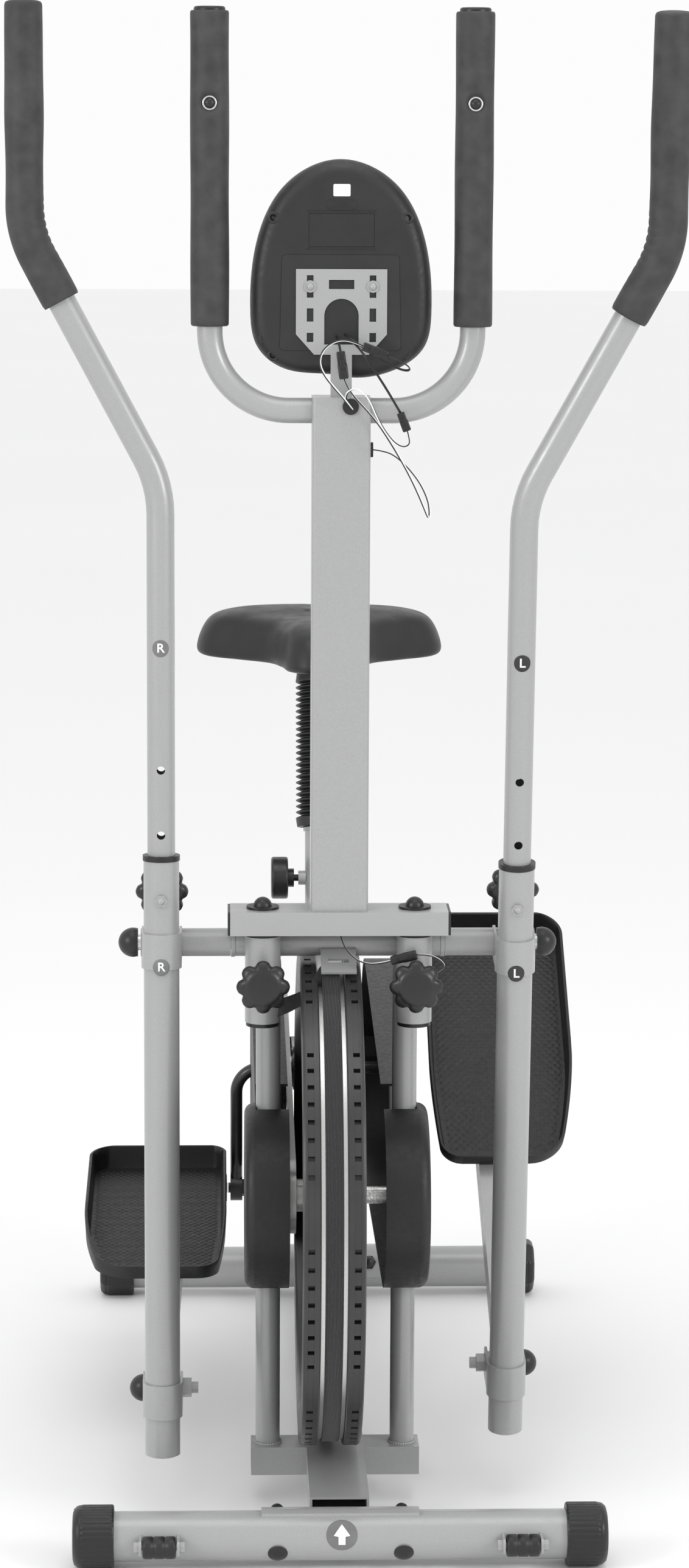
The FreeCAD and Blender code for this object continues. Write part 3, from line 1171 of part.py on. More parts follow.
def upper_arm(side):
    """The bent upper tube, with its row of height holes."""
    points = [arm_line(UPPER_BOTTOM), arm_line(BEND_ONE), vec(HANDLE_X, -ARM_SETBACK, BEND_TWO),
              vec(HANDLE_X, -ARM_SETBACK, HANDLE_TOP)]
    body = bent_tube(points, [LOWER_BEND_R, UPPER_BEND_R], UPPER_TUBE_D, UPPER_TUBE_D - 2 * UPPER_WALL)
    for k in range(3):
        z = ARM_KNOB_UP + k * HEIGHT_PITCH
        body = body.cut(rod(vec(ARM_X, -ARM_SETBACK - 30, z), vec(ARM_X, -ARM_SETBACK + 30, z), HEIGHT_HOLE))
    return arm_frame([body], side)


def arm_grip(side):
    """The foam sleeve on the handle, which follows its upper bend, and is closed at the top."""
    corner = vec(HANDLE_X, -ARM_SETBACK, BEND_TWO)
    start = arm_line(BEND_ONE) + (corner - arm_line(BEND_ONE)) * HANDLE_GRIP_START
    points = [start, corner, vec(HANDLE_X, -ARM_SETBACK, HANDLE_TOP)]
    foam = bent_tube(points, [UPPER_BEND_R], GRIP_D, UPPER_TUBE_D)
    lid = rod(vec(HANDLE_X, -ARM_SETBACK, HANDLE_TOP), vec(HANDLE_X, -ARM_SETBACK, HANDLE_TOP + 5), GRIP_D)
    lid = round_edges(lid, 3, lambda e: e.BoundBox.ZMin > HANDLE_TOP + 4)
    return arm_frame([foam.fuse(lid)], side)


# ---- foot bars -----------------------------------------------------------------------------------------
def bar_frame(shapes, side):
    """Puts pieces made with the bar level and its front pivot at the origin onto one side."""
    pitch, front_y, front_z = REST[side][1:]
    placed = []
    for shape in shapes:
        piece = shape if side > 0 else other_side(shape)
        piece = piece.copy()
        piece.rotate(vec(0, 0, 0), vec(1, 0, 0), pitch)
        piece.translate(vec(0, front_y, front_z))
        placed.append(piece)
    return placed


def foot_bar(side):
    """The box-section bar, its front bush, its rear bearing housing and the pedal's cross plates."""
    bush_half = ARM_TUBE_D / 2 - GAP
    bush = x_tube(ARM_X - bush_half, ARM_X + bush_half, 0, 0, FOOT_BUSH_D, PIVOT_BOLT_D + 2 * FIT)
    front = vec(ARM_X, 0, 0)
    rear = vec(FOOT_BAR_REAR_X, FOOT_BAR_LENGTH, 0)
    half_w = FOOT_BAR_W / 2
    half_h = FOOT_BAR_H / 2
    outline = [front + vec(-half_w, 0, -half_h), rear + vec(-half_w, 0, -half_h),
               rear + vec(half_w, 0, -half_h), front + vec(half_w, 0, -half_h)]
    bar = slab(outline, vec(0, 0, FOOT_BAR_H))
    core = [front + vec(-half_w + 2, -1, -half_h + 2), rear + vec(-half_w + 2, 1, -half_h + 2),
            rear + vec(half_w - 2, 1, -half_h + 2), front + vec(half_w - 2, -1, -half_h + 2)]
    bar = bar.cut(slab(core, vec(0, 0, FOOT_BAR_H - 4)))
    bar = bar.cut(x_rod(0, 300, 0, 0, FOOT_BUSH_D)).cut(block(0, 300, -30, 4, -30, 30))
    bar = bar.cut(x_rod(0, 300, FOOT_BAR_LENGTH, 0, HOUSING_D))
    outer_x = FOOT_BAR_REAR_X + half_w + 4
    housing = x_tube(HOUSING_INNER_X, outer_x, FOOT_BAR_LENGTH, 0, HOUSING_D, 24)
    pin = x_rod(EYE_BOLT_END_X + 1, outer_x + 8, FOOT_BAR_LENGTH, 0, PIVOT_BOLT_D)
    solids = [bar, bush, housing, pin]
    for x0 in (HOUSING_INNER_X, outer_x - 9):
        solids.append(x_tube(x0, x0 + 9, FOOT_BAR_LENGTH, 0, 24, PIVOT_BOLT_D))
    nut = hexagon(vec(outer_x, FOOT_BAR_LENGTH, 0), vec(1, 0, 0), 18, 6)
    solids.append(nut.cut(x_rod(100, 300, FOOT_BAR_LENGTH, 0, PIVOT_BOLT_D)))
    for y in (PEDAL_FRONT + 60, PEDAL_FRONT + 230):
        plate = block(PEDAL_X - 45, PEDAL_X + 45, y - 20, y + 20, half_h, half_h + 3)
        solids.append(plate)
    return bar_frame(solids, side)


def pedal_outline(inset, z):
    """The tread's outline: square at the front, bulging outwards, with round corners."""
    half = PEDAL_W / 2 - inset
    front = PEDAL_FRONT + inset
    rear = PEDAL_FRONT + PEDAL_LENGTH - inset
    x0 = PEDAL_X - half
    x1 = PEDAL_X + half
    taper = 13
    points = [vec(x0 + taper, front + 14, z), vec(x0 + taper + 14, front, z), vec(x1 - taper - 22, front, z),
              vec(x1 - taper, front + 22, z), vec(x1, front + 130, z), vec(x1, rear - 60, z),
              vec(x1 - 12, rear - 16, z), vec(x1 - 40, rear, z), vec(x0 + 22, rear, z),
              vec(x0, rear - 22, z), vec(x0, front + 150, z)]
    return Part.Face(Part.makePolygon(points + points[:1]))


def pedal(side):
    """The moulded tray: a floor and a raised rim all round, held by four screws."""
    floor_z = FOOT_BAR_H / 2 + 3
    tray = pedal_outline(0, floor_z).extrude(vec(0, 0, PEDAL_RIM_H))
    inside = pedal_outline(PEDAL_WALL, floor_z + PEDAL_WALL).extrude(vec(0, 0, PEDAL_RIM_H))
    tray = tray.cut(inside)
    low_front = block(0, 400, PEDAL_FRONT - 1, PEDAL_FRONT + 40, floor_z + PEDAL_RIM_H * 0.62, 90)
    tray = tray.cut(low_front)
    screws = []
    for x in (PEDAL_X - 32, PEDAL_X + 32):
        for y in (PEDAL_FRONT + 60, PEDAL_FRONT + 230):
            screws.append(dome(vec(x, y, floor_z + PEDAL_WALL), vec(0, 0, 1), 13, 3.5))
    return bar_frame([tray] + screws, side)


# ---- leads ---------------------------------------------------------------------------------------------
def lead(points):
    """A free lead: straight runs joined by the largest arcs that fit, with its radii printed."""
    radii = []
    for before, corner, after in zip(points, points[1:], points[2:]):
        shorter = min((corner - before).Length, (after - corner).Length)
        turn = (corner - before).getAngle(after - corner)
        radii.append(0.45 * shorter / math.tan(turn / 2))
    wire = rounded_path(points, radii)
    solid = bent_rod(points, radii, LEAD_D)
    share = solid.Volume / (math.pi * LEAD_D ** 2 / 4 * wire.Length)
    print("lead length %.0f, radii" % wire.Length, [round(r) for r in radii], "volume ratio %.3f" % share)
    return solid


def grommet_lead_route():
    """Out of the post's grommet, in a loop to the rider's right, to the first connector."""
    return [vec(10.5, 116.5, 1151.5), vec(7.5, 108.5, 1155.5), vec(0.5, 102.5, 1164.5), vec(-8.5, 101, 1174.5),
            vec(-17, 102, 1185), vec(-22.5, 103, 1196), vec(-21, 104, 1207), vec(-13, 104, 1216),
            vec(-2, 104, 1220.5), vec(10, 104, 1219), vec(20, 103, 1214.5)]


def console_lead_route():
    """From the first connector, in a small loop, back into the console's port."""
    return [vec(44, 101, 1205), vec(52, 98, 1202.5), vec(60, 98, 1198.5), vec(66, 102, 1194),
            vec(66.5, 109.5, 1190.5), vec(61, 116, 1190), vec(52.5, 118, 1193), vec(43.5, 119, 1198),
            vec(33.5, 119.5, 1204), vec(22, 121, 1211.5), vec(11, 124.5, 1218.5), vec(4.5, 132, 1223),
            vec(2.5, 143, 1224.5), vec(2, 154, 1224), vec(2.5, 162.5, 1224.5)]


def pulse_lead_route():
    """From the console's port down to the second connector."""
    return [vec(8.5, 162.5, 1218.5), vec(8, 153, 1217.5), vec(8.5, 142, 1218), vec(11, 131, 1217), vec(16, 121, 1212.5),
            vec(23, 113, 1203.5), vec(31, 109, 1191.5), vec(40, 108, 1178), vec(49, 108.5, 1163.5),
            vec(57.5, 108, 1149)]


def pulse_tail_route():
    """From the second connector, up and back into the grommet."""
    return [vec(64.5, 107.5, 1131), vec(66.5, 105, 1123.5), vec(66.5, 98, 1118), vec(60.5, 93, 1115.5),
            vec(52.5, 92.5, 1119), vec(45.5, 94, 1126.5), vec(38.5, 96.5, 1137), vec(32.5, 98.5, 1149),
            vec(28, 100, 1159.5), vec(22, 99.5, 1168.5), vec(14.5, 100, 1173.5), vec(6.5, 102.5, 1171),
            vec(3, 109.5, 1164.5), vec(4.5, 116.5, 1159.5)]


def sensor_top_route():
    """From the console's port down to the third connector."""
    return [vec(-5.5, 162.5, 1222.5), vec(-5, 153, 1221.5), vec(-5, 142, 1222), vec(-4.5, 131, 1221), vec(-3, 121, 1216.5),
            vec(-1.5, 113, 1208.5)]


def loop_lead_route():
    """From the third connector, in a long hanging loop, to the plug in the post's side."""
    return [vec(2, 109, 1182), vec(5.5, 110.5, 1173.5), vec(13, 112, 1163.5), vec(24, 111.5, 1152),
            vec(36, 110, 1138), vec(48, 107.5, 1120), vec(59.5, 104.5, 1101), vec(69, 102.5, 1083.5),
            vec(76.5, 102.5, 1067.5), vec(82, 105, 1054.5), vec(85.5, 111, 1046), vec(87.5, 119.5, 1044),
            vec(88.5, 127.5, 1050), vec(86.5, 132, 1062), vec(79, 133.5, 1077.5), vec(68, 135, 1091.5),
            vec(57, 136.5, 1102), vec(45.5, 138, 1108.5), vec(32, 139, 1110)]


def sensor_lead_route():
    """Out of the crossbar's underside, drooping to the fourth connector."""
    return [vec(1, 136, 622), vec(3, 133, 612.5), vec(9, 128, 603), vec(18, 122, 595.5),
            vec(29, 117, 592.5), vec(41, 113, 594), vec(52, 111, 597)]


def sensor_tail_route():
    """From the fourth connector, round behind the knob, to the flywheel sensor on the fork."""
    return [vec(78, 110, 603.5), vec(88, 110.5, 603.5), vec(97, 112.5, 600.5), vec(104, 117, 595),
            vec(107, 124.5, 589), vec(106.5, 134, 583), vec(103, 144, 577.5), vec(97, 154.5, 572),
            vec(90, 165, 567), vec(83.5, 175, 563), vec(78, 184, 560.5)]


CONNECTORS = [("grommet", grommet_lead_route, console_lead_route, 9.0),
              ("pulse", pulse_lead_route, pulse_tail_route, 8.0),
              ("sensor top", sensor_top_route, loop_lead_route, 9.0),
              ("sensor", sensor_lead_route, sensor_tail_route, 9.0)]


def plug(at, along, length, width):
    """A small push-together connector housing at the end of a lead."""
    direction = vec(along.x, along.y, along.z).normalize()
    body = Part.makeBox(width, width * 0.7, length, vec(-width / 2, -width * 0.35, 0))
    latch = Part.makeBox(width * 0.5, 2, length * 0.4, vec(-width / 4, -width * 0.35 - 2, length * 0.3))
    body = body.fuse(latch)
    body.Placement = FreeCAD.Placement(at, FreeCAD.Rotation(vec(0, 0, 1), direction))
    return body


def lead_plugs():
    """The connector housings that join the leads in pairs."""
    solids = []
    for name, arriving, leaving, width in CONNECTORS:
        start = arriving()[-1]
        run = leaving()[0] - start
        solids.append(plug(start, run, run.Length, width))
    return solids


def flywheel_sensor():
    """The small housing on the fork tube that counts the flywheel's turns."""
    end = sensor_tail_route()[-1]
    front = FORK_Y - FORK_TUBE_D / 2
    return block(FORK_X - 8, end.x, front - 9, front, end.z - 7, end.z + 7)


# ---- build ---------------------------------------------------------------------------------------------
def all_nodes():
    nodes = {
        "front_stabiliser": front_stabiliser() + roller_brackets(), "rear_stabiliser": rear_stabiliser(),
        "stabiliser_end_caps": stabiliser_end_caps(), "main_beam": main_beam(),
        "frame_bolts": frame_bolts(), "front_fork": front_fork(), "cross_tube": cross_tube(),
        "frame_axles": frame_axles(), "end_plugs": end_plugs() + pivot_caps() + [flywheel_sensor()],
        "console_post": console_post() + post_crossbar(),
        "fixed_handlebar": fixed_handlebar(), "fixed_grips": fixed_grips(),
        "console_bracket": console_bracket(), "console_back": console_back(),
        "console_face": console_face(), "console_screen": console_screen(),
        "battery_door": battery_door(), "mode_button": mode_button(),
        "seat_tube": seat_tube(), "seat_post": seat_post(), "seat_cushion": seat_cushion(),
        "seat_boot": seat_boot(), "seat_knob": seat_knob(),
        "bottom_bracket": bottom_bracket() + cover_mounts(), "crank": crank() + chainring(),
        "chain": chain(), "left_chain_cover": [chain_cover()],
        "right_chain_cover": [other_side(chain_cover())], "flywheel_shell": flywheel_shell(),
        "flywheel_band": flywheel_band(), "flywheel_hub": flywheel_hub(), "brake_belt": brake_belt(),
        "belt_spring": belt_spring(), "lead_plugs": lead_plugs(),
        "grommet_lead": [lead(grommet_lead_route())], "console_lead": [lead(console_lead_route())],
        "pulse_lead": [lead(pulse_lead_route())], "pulse_tail": [lead(pulse_tail_route())],
        "sensor_top_lead": [lead(sensor_top_route())], "loop_lead": [lead(loop_lead_route())],
        "sensor_lead": [lead(sensor_lead_route())], "sensor_tail": [lead(sensor_tail_route())],
    }
    for name, side in (("right", -1), ("left", 1)):
        nodes[name + "_roller"] = transport_roller(side)
        nodes[name + "_post_knob"] = post_knob(side)
        nodes[name + "_lower_arm"] = lower_arm(side)
        nodes[name + "_arm_collar"] = arm_collar(side)
        nodes[name + "_arm_knob"] = arm_knob(side)
        nodes[name + "_upper_arm"] = upper_arm(side)
        nodes[name + "_arm_grip"] = arm_grip(side)
        nodes[name + "_foot_bar"] = foot_bar(side)
        nodes[name + "_pedal"] = pedal(side)
    return nodes


def solids_of(shapes):
    return [solid for shape in shapes for solid in shape.Solids]


NODES = all_nodes()
boxes = [Part.makeCompound(solids_of(shapes)).BoundBox for shapes in NODES.values()]
ORIGIN_Y = (min(b.YMin for b in boxes) + max(b.YMax for b in boxes)) / 2
os.makedirs("parts", exist_ok=True)
for node, shapes in NODES.items():
    whole = Part.makeCompound(solids_of(shapes))
    whole.translate(vec(0, -ORIGIN_Y, 0))
    whole.exportStep("parts/%s.step" % node)
print("origin is %.2f mm behind the front stabiliser" % ORIGIN_Y)
print("nodes", len(NODES))
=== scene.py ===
"""The looks of an elliptical trainer with a seat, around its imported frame.

Lengths are metres in the row's frame: +Z up, +X the rider's left, +Y from the flywheel to the seat.
Every new surface is a grid of points worked out with numpy, as each function's docstring says.
"""
import json
import math

import bmesh
import bpy
import numpy as np
from mathutils import Matrix, Vector


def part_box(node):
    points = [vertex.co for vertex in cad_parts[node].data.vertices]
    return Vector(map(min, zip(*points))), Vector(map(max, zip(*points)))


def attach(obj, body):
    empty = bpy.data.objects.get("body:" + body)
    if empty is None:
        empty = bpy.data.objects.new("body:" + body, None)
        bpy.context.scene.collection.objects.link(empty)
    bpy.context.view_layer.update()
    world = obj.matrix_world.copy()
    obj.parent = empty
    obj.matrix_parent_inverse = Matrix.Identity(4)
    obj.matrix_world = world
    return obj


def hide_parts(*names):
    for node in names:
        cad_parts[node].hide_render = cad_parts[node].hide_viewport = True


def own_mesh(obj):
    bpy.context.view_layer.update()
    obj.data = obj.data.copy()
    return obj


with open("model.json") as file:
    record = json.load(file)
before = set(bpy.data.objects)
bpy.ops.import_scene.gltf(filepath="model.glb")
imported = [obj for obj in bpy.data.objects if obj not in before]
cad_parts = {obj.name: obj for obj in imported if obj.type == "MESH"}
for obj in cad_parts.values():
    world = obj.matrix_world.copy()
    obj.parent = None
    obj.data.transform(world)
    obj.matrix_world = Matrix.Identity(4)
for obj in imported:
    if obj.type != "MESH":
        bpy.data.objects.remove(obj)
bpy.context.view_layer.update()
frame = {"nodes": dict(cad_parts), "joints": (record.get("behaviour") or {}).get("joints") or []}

nodes = frame["nodes"]
joints = {joint["name"]: joint for joint in frame["joints"]}
TAU = 2 * math.pi
MM = 0.001
SIDES = (("right", -1), ("left", 1))
ORIGIN_Y = 487.41           # millimetres from the front tube's line back to the frame's origin
LEAD_D = 0.0024
FIXED_GRIP_X = 0.130
SCREW_Z = 1.449
PEDAL_HALF_W = 0.080
PEDAL_LENGTH = 0.350
PEDAL_START = 0.250         # from the foot bar's front pivot to the tray's front edge
PEDAL_MID_X = 0.193
PEDAL_FLOOR = 0.021
CRANK_RADIUS = 0.152
CRANK_TILT = math.radians(8.0)
CAP_RADIUS = 0.032
CAP_START_X = 0.227
ARM_OFFSET = 0.033          # from the swing arms' pivot line forward to their tubes
BELT_THICK = 0.0021
NOTCH_DEPTH = 0.0055
NOTCH_WIDTH = 0.0050
NOTCH_PITCH = math.radians(4.11)
NOTCH_GROUPS = 8
NOTCHES_IN_GROUP = 8
FOLDS = 23
LENS_HEIGHT = 1.432


def joint_at(name):
    return np.array(joints[name]["pos_m"], float)


def joint_axis(name):
    axis = np.array(joints[name]["axis"], float)
    return axis / np.linalg.norm(axis)


def node_box(name):
    low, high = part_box(name)
    return np.array(low), np.array(high)


WHEEL = joint_at("flywheel_spin")
CRANK = joint_at("crank_spin")
PIVOT = joint_at("right_arm_swing")
FRONT_AXIS_Y = node_box("stabiliser_end_caps")[0][1] + CAP_RADIUS
ARMS_Y = PIVOT[1] - ARM_OFFSET


# ---- meshes ------------------------------------------------------------------------------------
def finish_mesh(name, mesh, body, material, smooth=True, replaced=()):
    """Merges doubled points, turns faces outwards, and puts the piece on its body."""
    work = bmesh.new()
    work.from_mesh(mesh)
    bmesh.ops.remove_doubles(work, verts=work.verts, dist=1e-6)
    bmesh.ops.dissolve_degenerate(work, edges=work.edges, dist=1e-7)
    bmesh.ops.recalc_face_normals(work, faces=work.faces)
    work.to_mesh(mesh)
    work.free()
    mesh.polygons.foreach_set("use_smooth", [smooth] * len(mesh.polygons))
    piece = bpy.data.objects.new(name, mesh)
    bpy.context.scene.collection.objects.link(piece)
    for one in material if isinstance(material, (list, tuple)) else [material]:
        mesh.materials.append(one)
    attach(piece, body)
    if replaced:
        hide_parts(*replaced)
    return piece


def grid_faces(rows, columns, start=0):
    """Four-sided faces between neighbouring points of a rows by columns grid."""
    index = np.arange(rows * columns).reshape(rows, columns) + start
    return np.stack([index[:-1, :-1], index[1:, :-1], index[1:, 1:], index[:-1, 1:]], -1).reshape(-1, 4)


def grid_mesh(name, grids):
    """One mesh of several grids of points, each an array of rows, columns and 3, with its UV map."""
    points = []
    faces = []
    maps = []
    start = 0
    for grid in grids:
        rows, columns = grid.shape[:2]
        points.append(grid.reshape(-1, 3))
        faces.append(grid_faces(rows, columns, start))
        across = np.linspace(0, 1, rows)[:, None] + np.zeros(columns)
        along = np.linspace(0, 1, columns)[None, :] + np.zeros((rows, 1))
        maps.append(np.stack([across, along], -1).reshape(-1, 2))
        start += rows * columns
    mesh = bpy.data.meshes.new(name)
    every_face = np.concatenate(faces)
    mesh.from_pydata(np.concatenate(points).tolist(), [], every_face.tolist())
    layer = mesh.uv_layers.new(name="UVMap")
    layer.data.foreach_set("uv", np.concatenate(maps)[every_face.ravel()].ravel())
    return mesh


def frame_of(direction):
    """Two unit vectors square to a direction and to each other."""
    along = np.asarray(direction, float) / np.linalg.norm(direction)
    guide = np.array([0.0, 0.0, 1.0]) if abs(along[2]) < 0.9 else np.array([1.0, 0.0, 0.0])
    side = np.cross(guide, along)
    side /= np.linalg.norm(side)
    return along, side, np.cross(along, side)


def turned_grid(profile, origin, direction, count=64, lobes=None):
    """A profile of (radius, height) points turned once round an axis: each point goes to the origin
    plus its height along the axis plus its radius outwards; lobes scales the radius by angle and row."""
    profile = np.asarray(profile, float)
    along, side, other = frame_of(direction)
    angle = np.linspace(0, TAU, count + 1)
    radius = profile[:, 0][:, None] + np.zeros(count + 1)
    if lobes is not None:
        radius = radius * lobes(angle[None, :], np.arange(len(profile))[:, None])
    outward = np.cos(angle)[:, None] * side + np.sin(angle)[:, None] * other
    return np.asarray(origin, float) + radius[..., None] * outward + profile[:, 1][:, None, None] * along


def smooth_line(points, steps=10, closed=False):
    """A Catmull-Rom curve through points: each stretch is a cubic whose end slopes are half the
    difference of the neighbouring points."""
    p = np.asarray(points, float)
    if closed:
        before, first, second, after = np.roll(p, 1, 0), p, np.roll(p, -1, 0), np.roll(p, -2, 0)
    else:
        wide = np.concatenate([[2 * p[0] - p[1]], p, [2 * p[-1] - p[-2]]])
        before, first, second, after = wide[:-3], wide[1:-2], wide[2:-1], wide[3:]
    t = (np.arange(steps) / steps)[None, :, None]
    b, f, s, a = before[:, None], first[:, None], second[:, None], after[:, None]
    line = 0.5 * (2 * f + (s - b) * t + (2 * b - 5 * f + 4 * s - a) * t ** 2
                  + (3 * f - b - 3 * s + a) * t ** 3)
    line = line.reshape(-1, p.shape[1])
    return np.concatenate([line, line[:1] if closed else p[-1:]])


def carried_frames(path):
    """Unit tangents of a path and two vectors carried along it with no twist, as whole arrays where
    possible: each new side vector is the last one with its part along the tangent taken off."""
    tangent = np.gradient(path, axis=0)
    tangent /= np.linalg.norm(tangent, axis=1)[:, None]
    side = np.empty_like(path)
    side[0] = frame_of(tangent[0])[1]
    for k in range(1, len(path)):
        step = side[k - 1] - tangent[k] * (side[k - 1] @ tangent[k])
        side[k] = step / np.linalg.norm(step)
    return tangent, side, np.cross(tangent, side)


def swept_grid(path, radius, count=24, offset=(0, 0), turn=0.0):
    """A round section carried along a path: radius may be one number or one per path point, and
    offset moves the section's centre sideways, turning steadily by turn radians over the length."""
    _, side, other = carried_frames(path)
    spin = np.linspace(0, turn, len(path))[:, None]
    side, other = side * np.cos(spin) + other * np.sin(spin), other * np.cos(spin) - side * np.sin(spin)
    angle = np.linspace(0, TAU, count + 1)
    radius = np.broadcast_to(np.asarray(radius, float), (len(path),))
    centre = path + side * offset[0] + other * offset[1]
    ring = np.cos(angle)[None, :, None] * side[:, None] + np.sin(angle)[None, :, None] * other[:, None]
    tube = centre[:, None] + radius[:, None, None] * ring
    first = np.repeat(centre[:1, None], count + 1, 1)
    last = np.repeat(centre[-1:, None], count + 1, 1)
    return np.concatenate([first, tube, last])


# ---- materials ---------------------------------------------------------------------------------
class Finish:
    """A material under construction: its node tree, with object coordinates to hand."""

    def __init__(self, name, colour, roughness, metallic=0.0):
        self.material = bpy.data.materials.new(name)
        self.material.use_nodes = True
        self.tree = self.material.node_tree
        self.shader = self.tree.nodes["Principled BSDF"]
        self.colour = colour
        self.shader.inputs["Base Color"].default_value = (*colour, 1)
        self.shader.inputs["Roughness"].default_value = roughness
        self.shader.inputs["Metallic"].default_value = metallic
        self.coordinates = self.node("ShaderNodeTexCoord")
        self.bump = None

    def node(self, kind, **settings):
        made = self.tree.nodes.new(kind)
        for key, value in settings.items():
            setattr(made, key, value)
        return made

    def link(self, start, end):
        self.tree.links.new(start, end)

    def noise(self, scale, detail=3.0, source="Object", stretch=(1, 1, 1)):
        mapping = self.node("ShaderNodeMapping")
        mapping.inputs["Scale"].default_value = stretch
        self.link(self.coordinates.outputs[source], mapping.inputs["Vector"])
        noise = self.node("ShaderNodeTexNoise")
        noise.inputs["Scale"].default_value = scale
        noise.inputs["Detail"].default_value = detail
        self.link(mapping.outputs["Vector"], noise.inputs["Vector"])
        return noise.outputs["Fac"]

    def ramp(self, value, low, high, start=0.3, end=0.7):
        ramp = self.node("ShaderNodeMapRange")
        ramp.inputs["From Min"].default_value = start
        ramp.inputs["From Max"].default_value = end
        ramp.inputs["To Min"].default_value = low
        ramp.inputs["To Max"].default_value = high
        self.link(value, ramp.inputs["Value"])
        return ramp.outputs["Result"]

    def tone(self, value, darker, lighter):
        """Varies the colour between two shares of itself."""
        mix = self.node("ShaderNodeMix", data_type="RGBA")
        mix.inputs["A"].default_value = (*[c * darker for c in self.colour], 1)
        mix.inputs["B"].default_value = (*[min(c * lighter, 1) for c in self.colour], 1)
        self.link(self.ramp(value, 0, 1), mix.inputs["Factor"])
        self.link(mix.outputs["Result"], self.shader.inputs["Base Color"])
        return self

    def rough(self, value, low, high):
        self.link(self.ramp(value, low, high), self.shader.inputs["Roughness"])
        return self

    def relief(self, value, depth, strength=1.0):
        """Adds a bump of this depth in metres on top of any that is there."""
        bump = self.node("ShaderNodeBump")
        bump.inputs["Distance"].default_value = depth
        bump.inputs["Strength"].default_value = strength
        self.link(value, bump.inputs["Height"])
        if self.bump is not None:
            self.link(self.bump, bump.inputs["Normal"])
        self.bump = bump.outputs["Normal"]
        self.link(self.bump, self.shader.inputs["Normal"])
        return self

    def coat(self, weight, roughness):
        self.shader.inputs["Coat Weight"].default_value = weight
        self.shader.inputs["Coat Roughness"].default_value = roughness
        return self


def powder_coat():
    """Silver-grey powder coat: a fine orange peel and a slight sparkle."""
    paint = Finish("silver_powder_coat", (0.350, 0.351, 0.354), 0.36, 0.15)
    paint.tone(paint.noise(900, 2), 0.95, 1.05)
    paint.rough(paint.noise(60, 3), 0.29, 0.4)
    paint.relief(paint.noise(1400, 2), 0.00006, 0.5)
    return paint.coat(0.3, 0.18).material


def dark_enamel(name, colour, roughness):
    paint = Finish(name, colour, roughness, 0.1)
    paint.tone(paint.noise(40, 4), 0.8, 1.25)
    paint.rough(paint.noise(25, 4), roughness - 0.08, roughness + 0.1)
    paint.relief(paint.noise(1200, 2), 0.00005, 0.5)
    return paint.coat(0.25, 0.25).material


def moulded_plastic(name, colour, roughness, grain=1500, depth=0.00008):
    plastic = Finish(name, colour, roughness)
    plastic.tone(plastic.noise(30, 4), 0.85, 1.2)
    plastic.rough(plastic.noise(200, 3), roughness - 0.06, roughness + 0.08)
    return plastic.relief(plastic.noise(grain, 2), depth, 0.7).material


def bare_steel(name, colour, roughness, stretch):
    """Steel with fine scratches drawn out along one direction."""
    steel = Finish(name, colour, roughness, 1.0)
    steel.tone(steel.noise(300, 4, stretch=stretch), 0.8, 1.1)
    steel.rough(steel.noise(500, 4, stretch=stretch), roughness - 0.08, roughness + 0.15)
    return steel.relief(steel.noise(800, 3, stretch=stretch), 0.00004, 0.4).material


def grip_foam():
    """Closed-cell foam: small pores, a soft matt skin and faint cloudy wear."""
    foam = Finish("grip_foam", (0.030, 0.030, 0.031), 0.6)
    pores = foam.node("ShaderNodeTexVoronoi")
    pores.inputs["Scale"].default_value = 1300
    foam.link(foam.coordinates.outputs["Object"], pores.inputs["Vector"])
    foam.relief(pores.outputs["Distance"], 0.00016, 0.7)
    foam.relief(foam.noise(90, 4), 0.0005, 0.25)
    return foam.tone(foam.noise(55, 5), 0.75, 1.5).material


def seat_vinyl():
    """Grained vinyl: small rounded cells with a finer grain on them."""
    vinyl = Finish("seat_vinyl", (0.006, 0.006, 0.0065), 0.45)
    cells = vinyl.node("ShaderNodeTexVoronoi", feature="SMOOTH_F1")
    cells.inputs["Scale"].default_value = 520
    vinyl.link(vinyl.coordinates.outputs["Object"], cells.inputs["Vector"])
    vinyl.relief(cells.outputs["Distance"], 0.0003, 0.6)
    vinyl.relief(vinyl.noise(1800, 3), 0.00008, 0.5)
    vinyl.rough(vinyl.noise(40, 4), 0.36, 0.52)
    return vinyl.tone(vinyl.noise(18, 4), 0.8, 1.35).material


def webbing(repeats):
    """Woven belt: ribs across the belt, with the weft's slant, from the piece's own UV map."""
    cloth = Finish("brake_webbing", (0.018, 0.018, 0.020), 0.7)
    mapping = cloth.node("ShaderNodeMapping")
    mapping.inputs["Scale"].default_value = (repeats, 14, 1)
    cloth.link(cloth.coordinates.outputs["UV"], mapping.inputs["Vector"])
    for rotation in (0.6, -0.6):
        wave = cloth.node("ShaderNodeTexWave", wave_type="BANDS", bands_direction="X")
        wave.inputs["Scale"].default_value = 1.0
        turned = cloth.node("ShaderNodeMapping")
        turned.inputs["Rotation"].default_value = (0, 0, rotation)
        cloth.link(mapping.outputs["Vector"], turned.inputs["Vector"])
        cloth.link(turned.outputs["Vector"], wave.inputs["Vector"])
        cloth.relief(wave.outputs["Fac"], 0.0005, 0.8)
    cloth.shader.inputs["Sheen Weight"].default_value = 0.4
    return cloth.tone(cloth.noise(700, 3), 0.7, 1.9).material


def display_glass():
    glass = Finish("display_glass", (0.20, 0.24, 0.21), 0.12)
    return glass.tone(glass.noise(20, 2), 0.9, 1.1).material


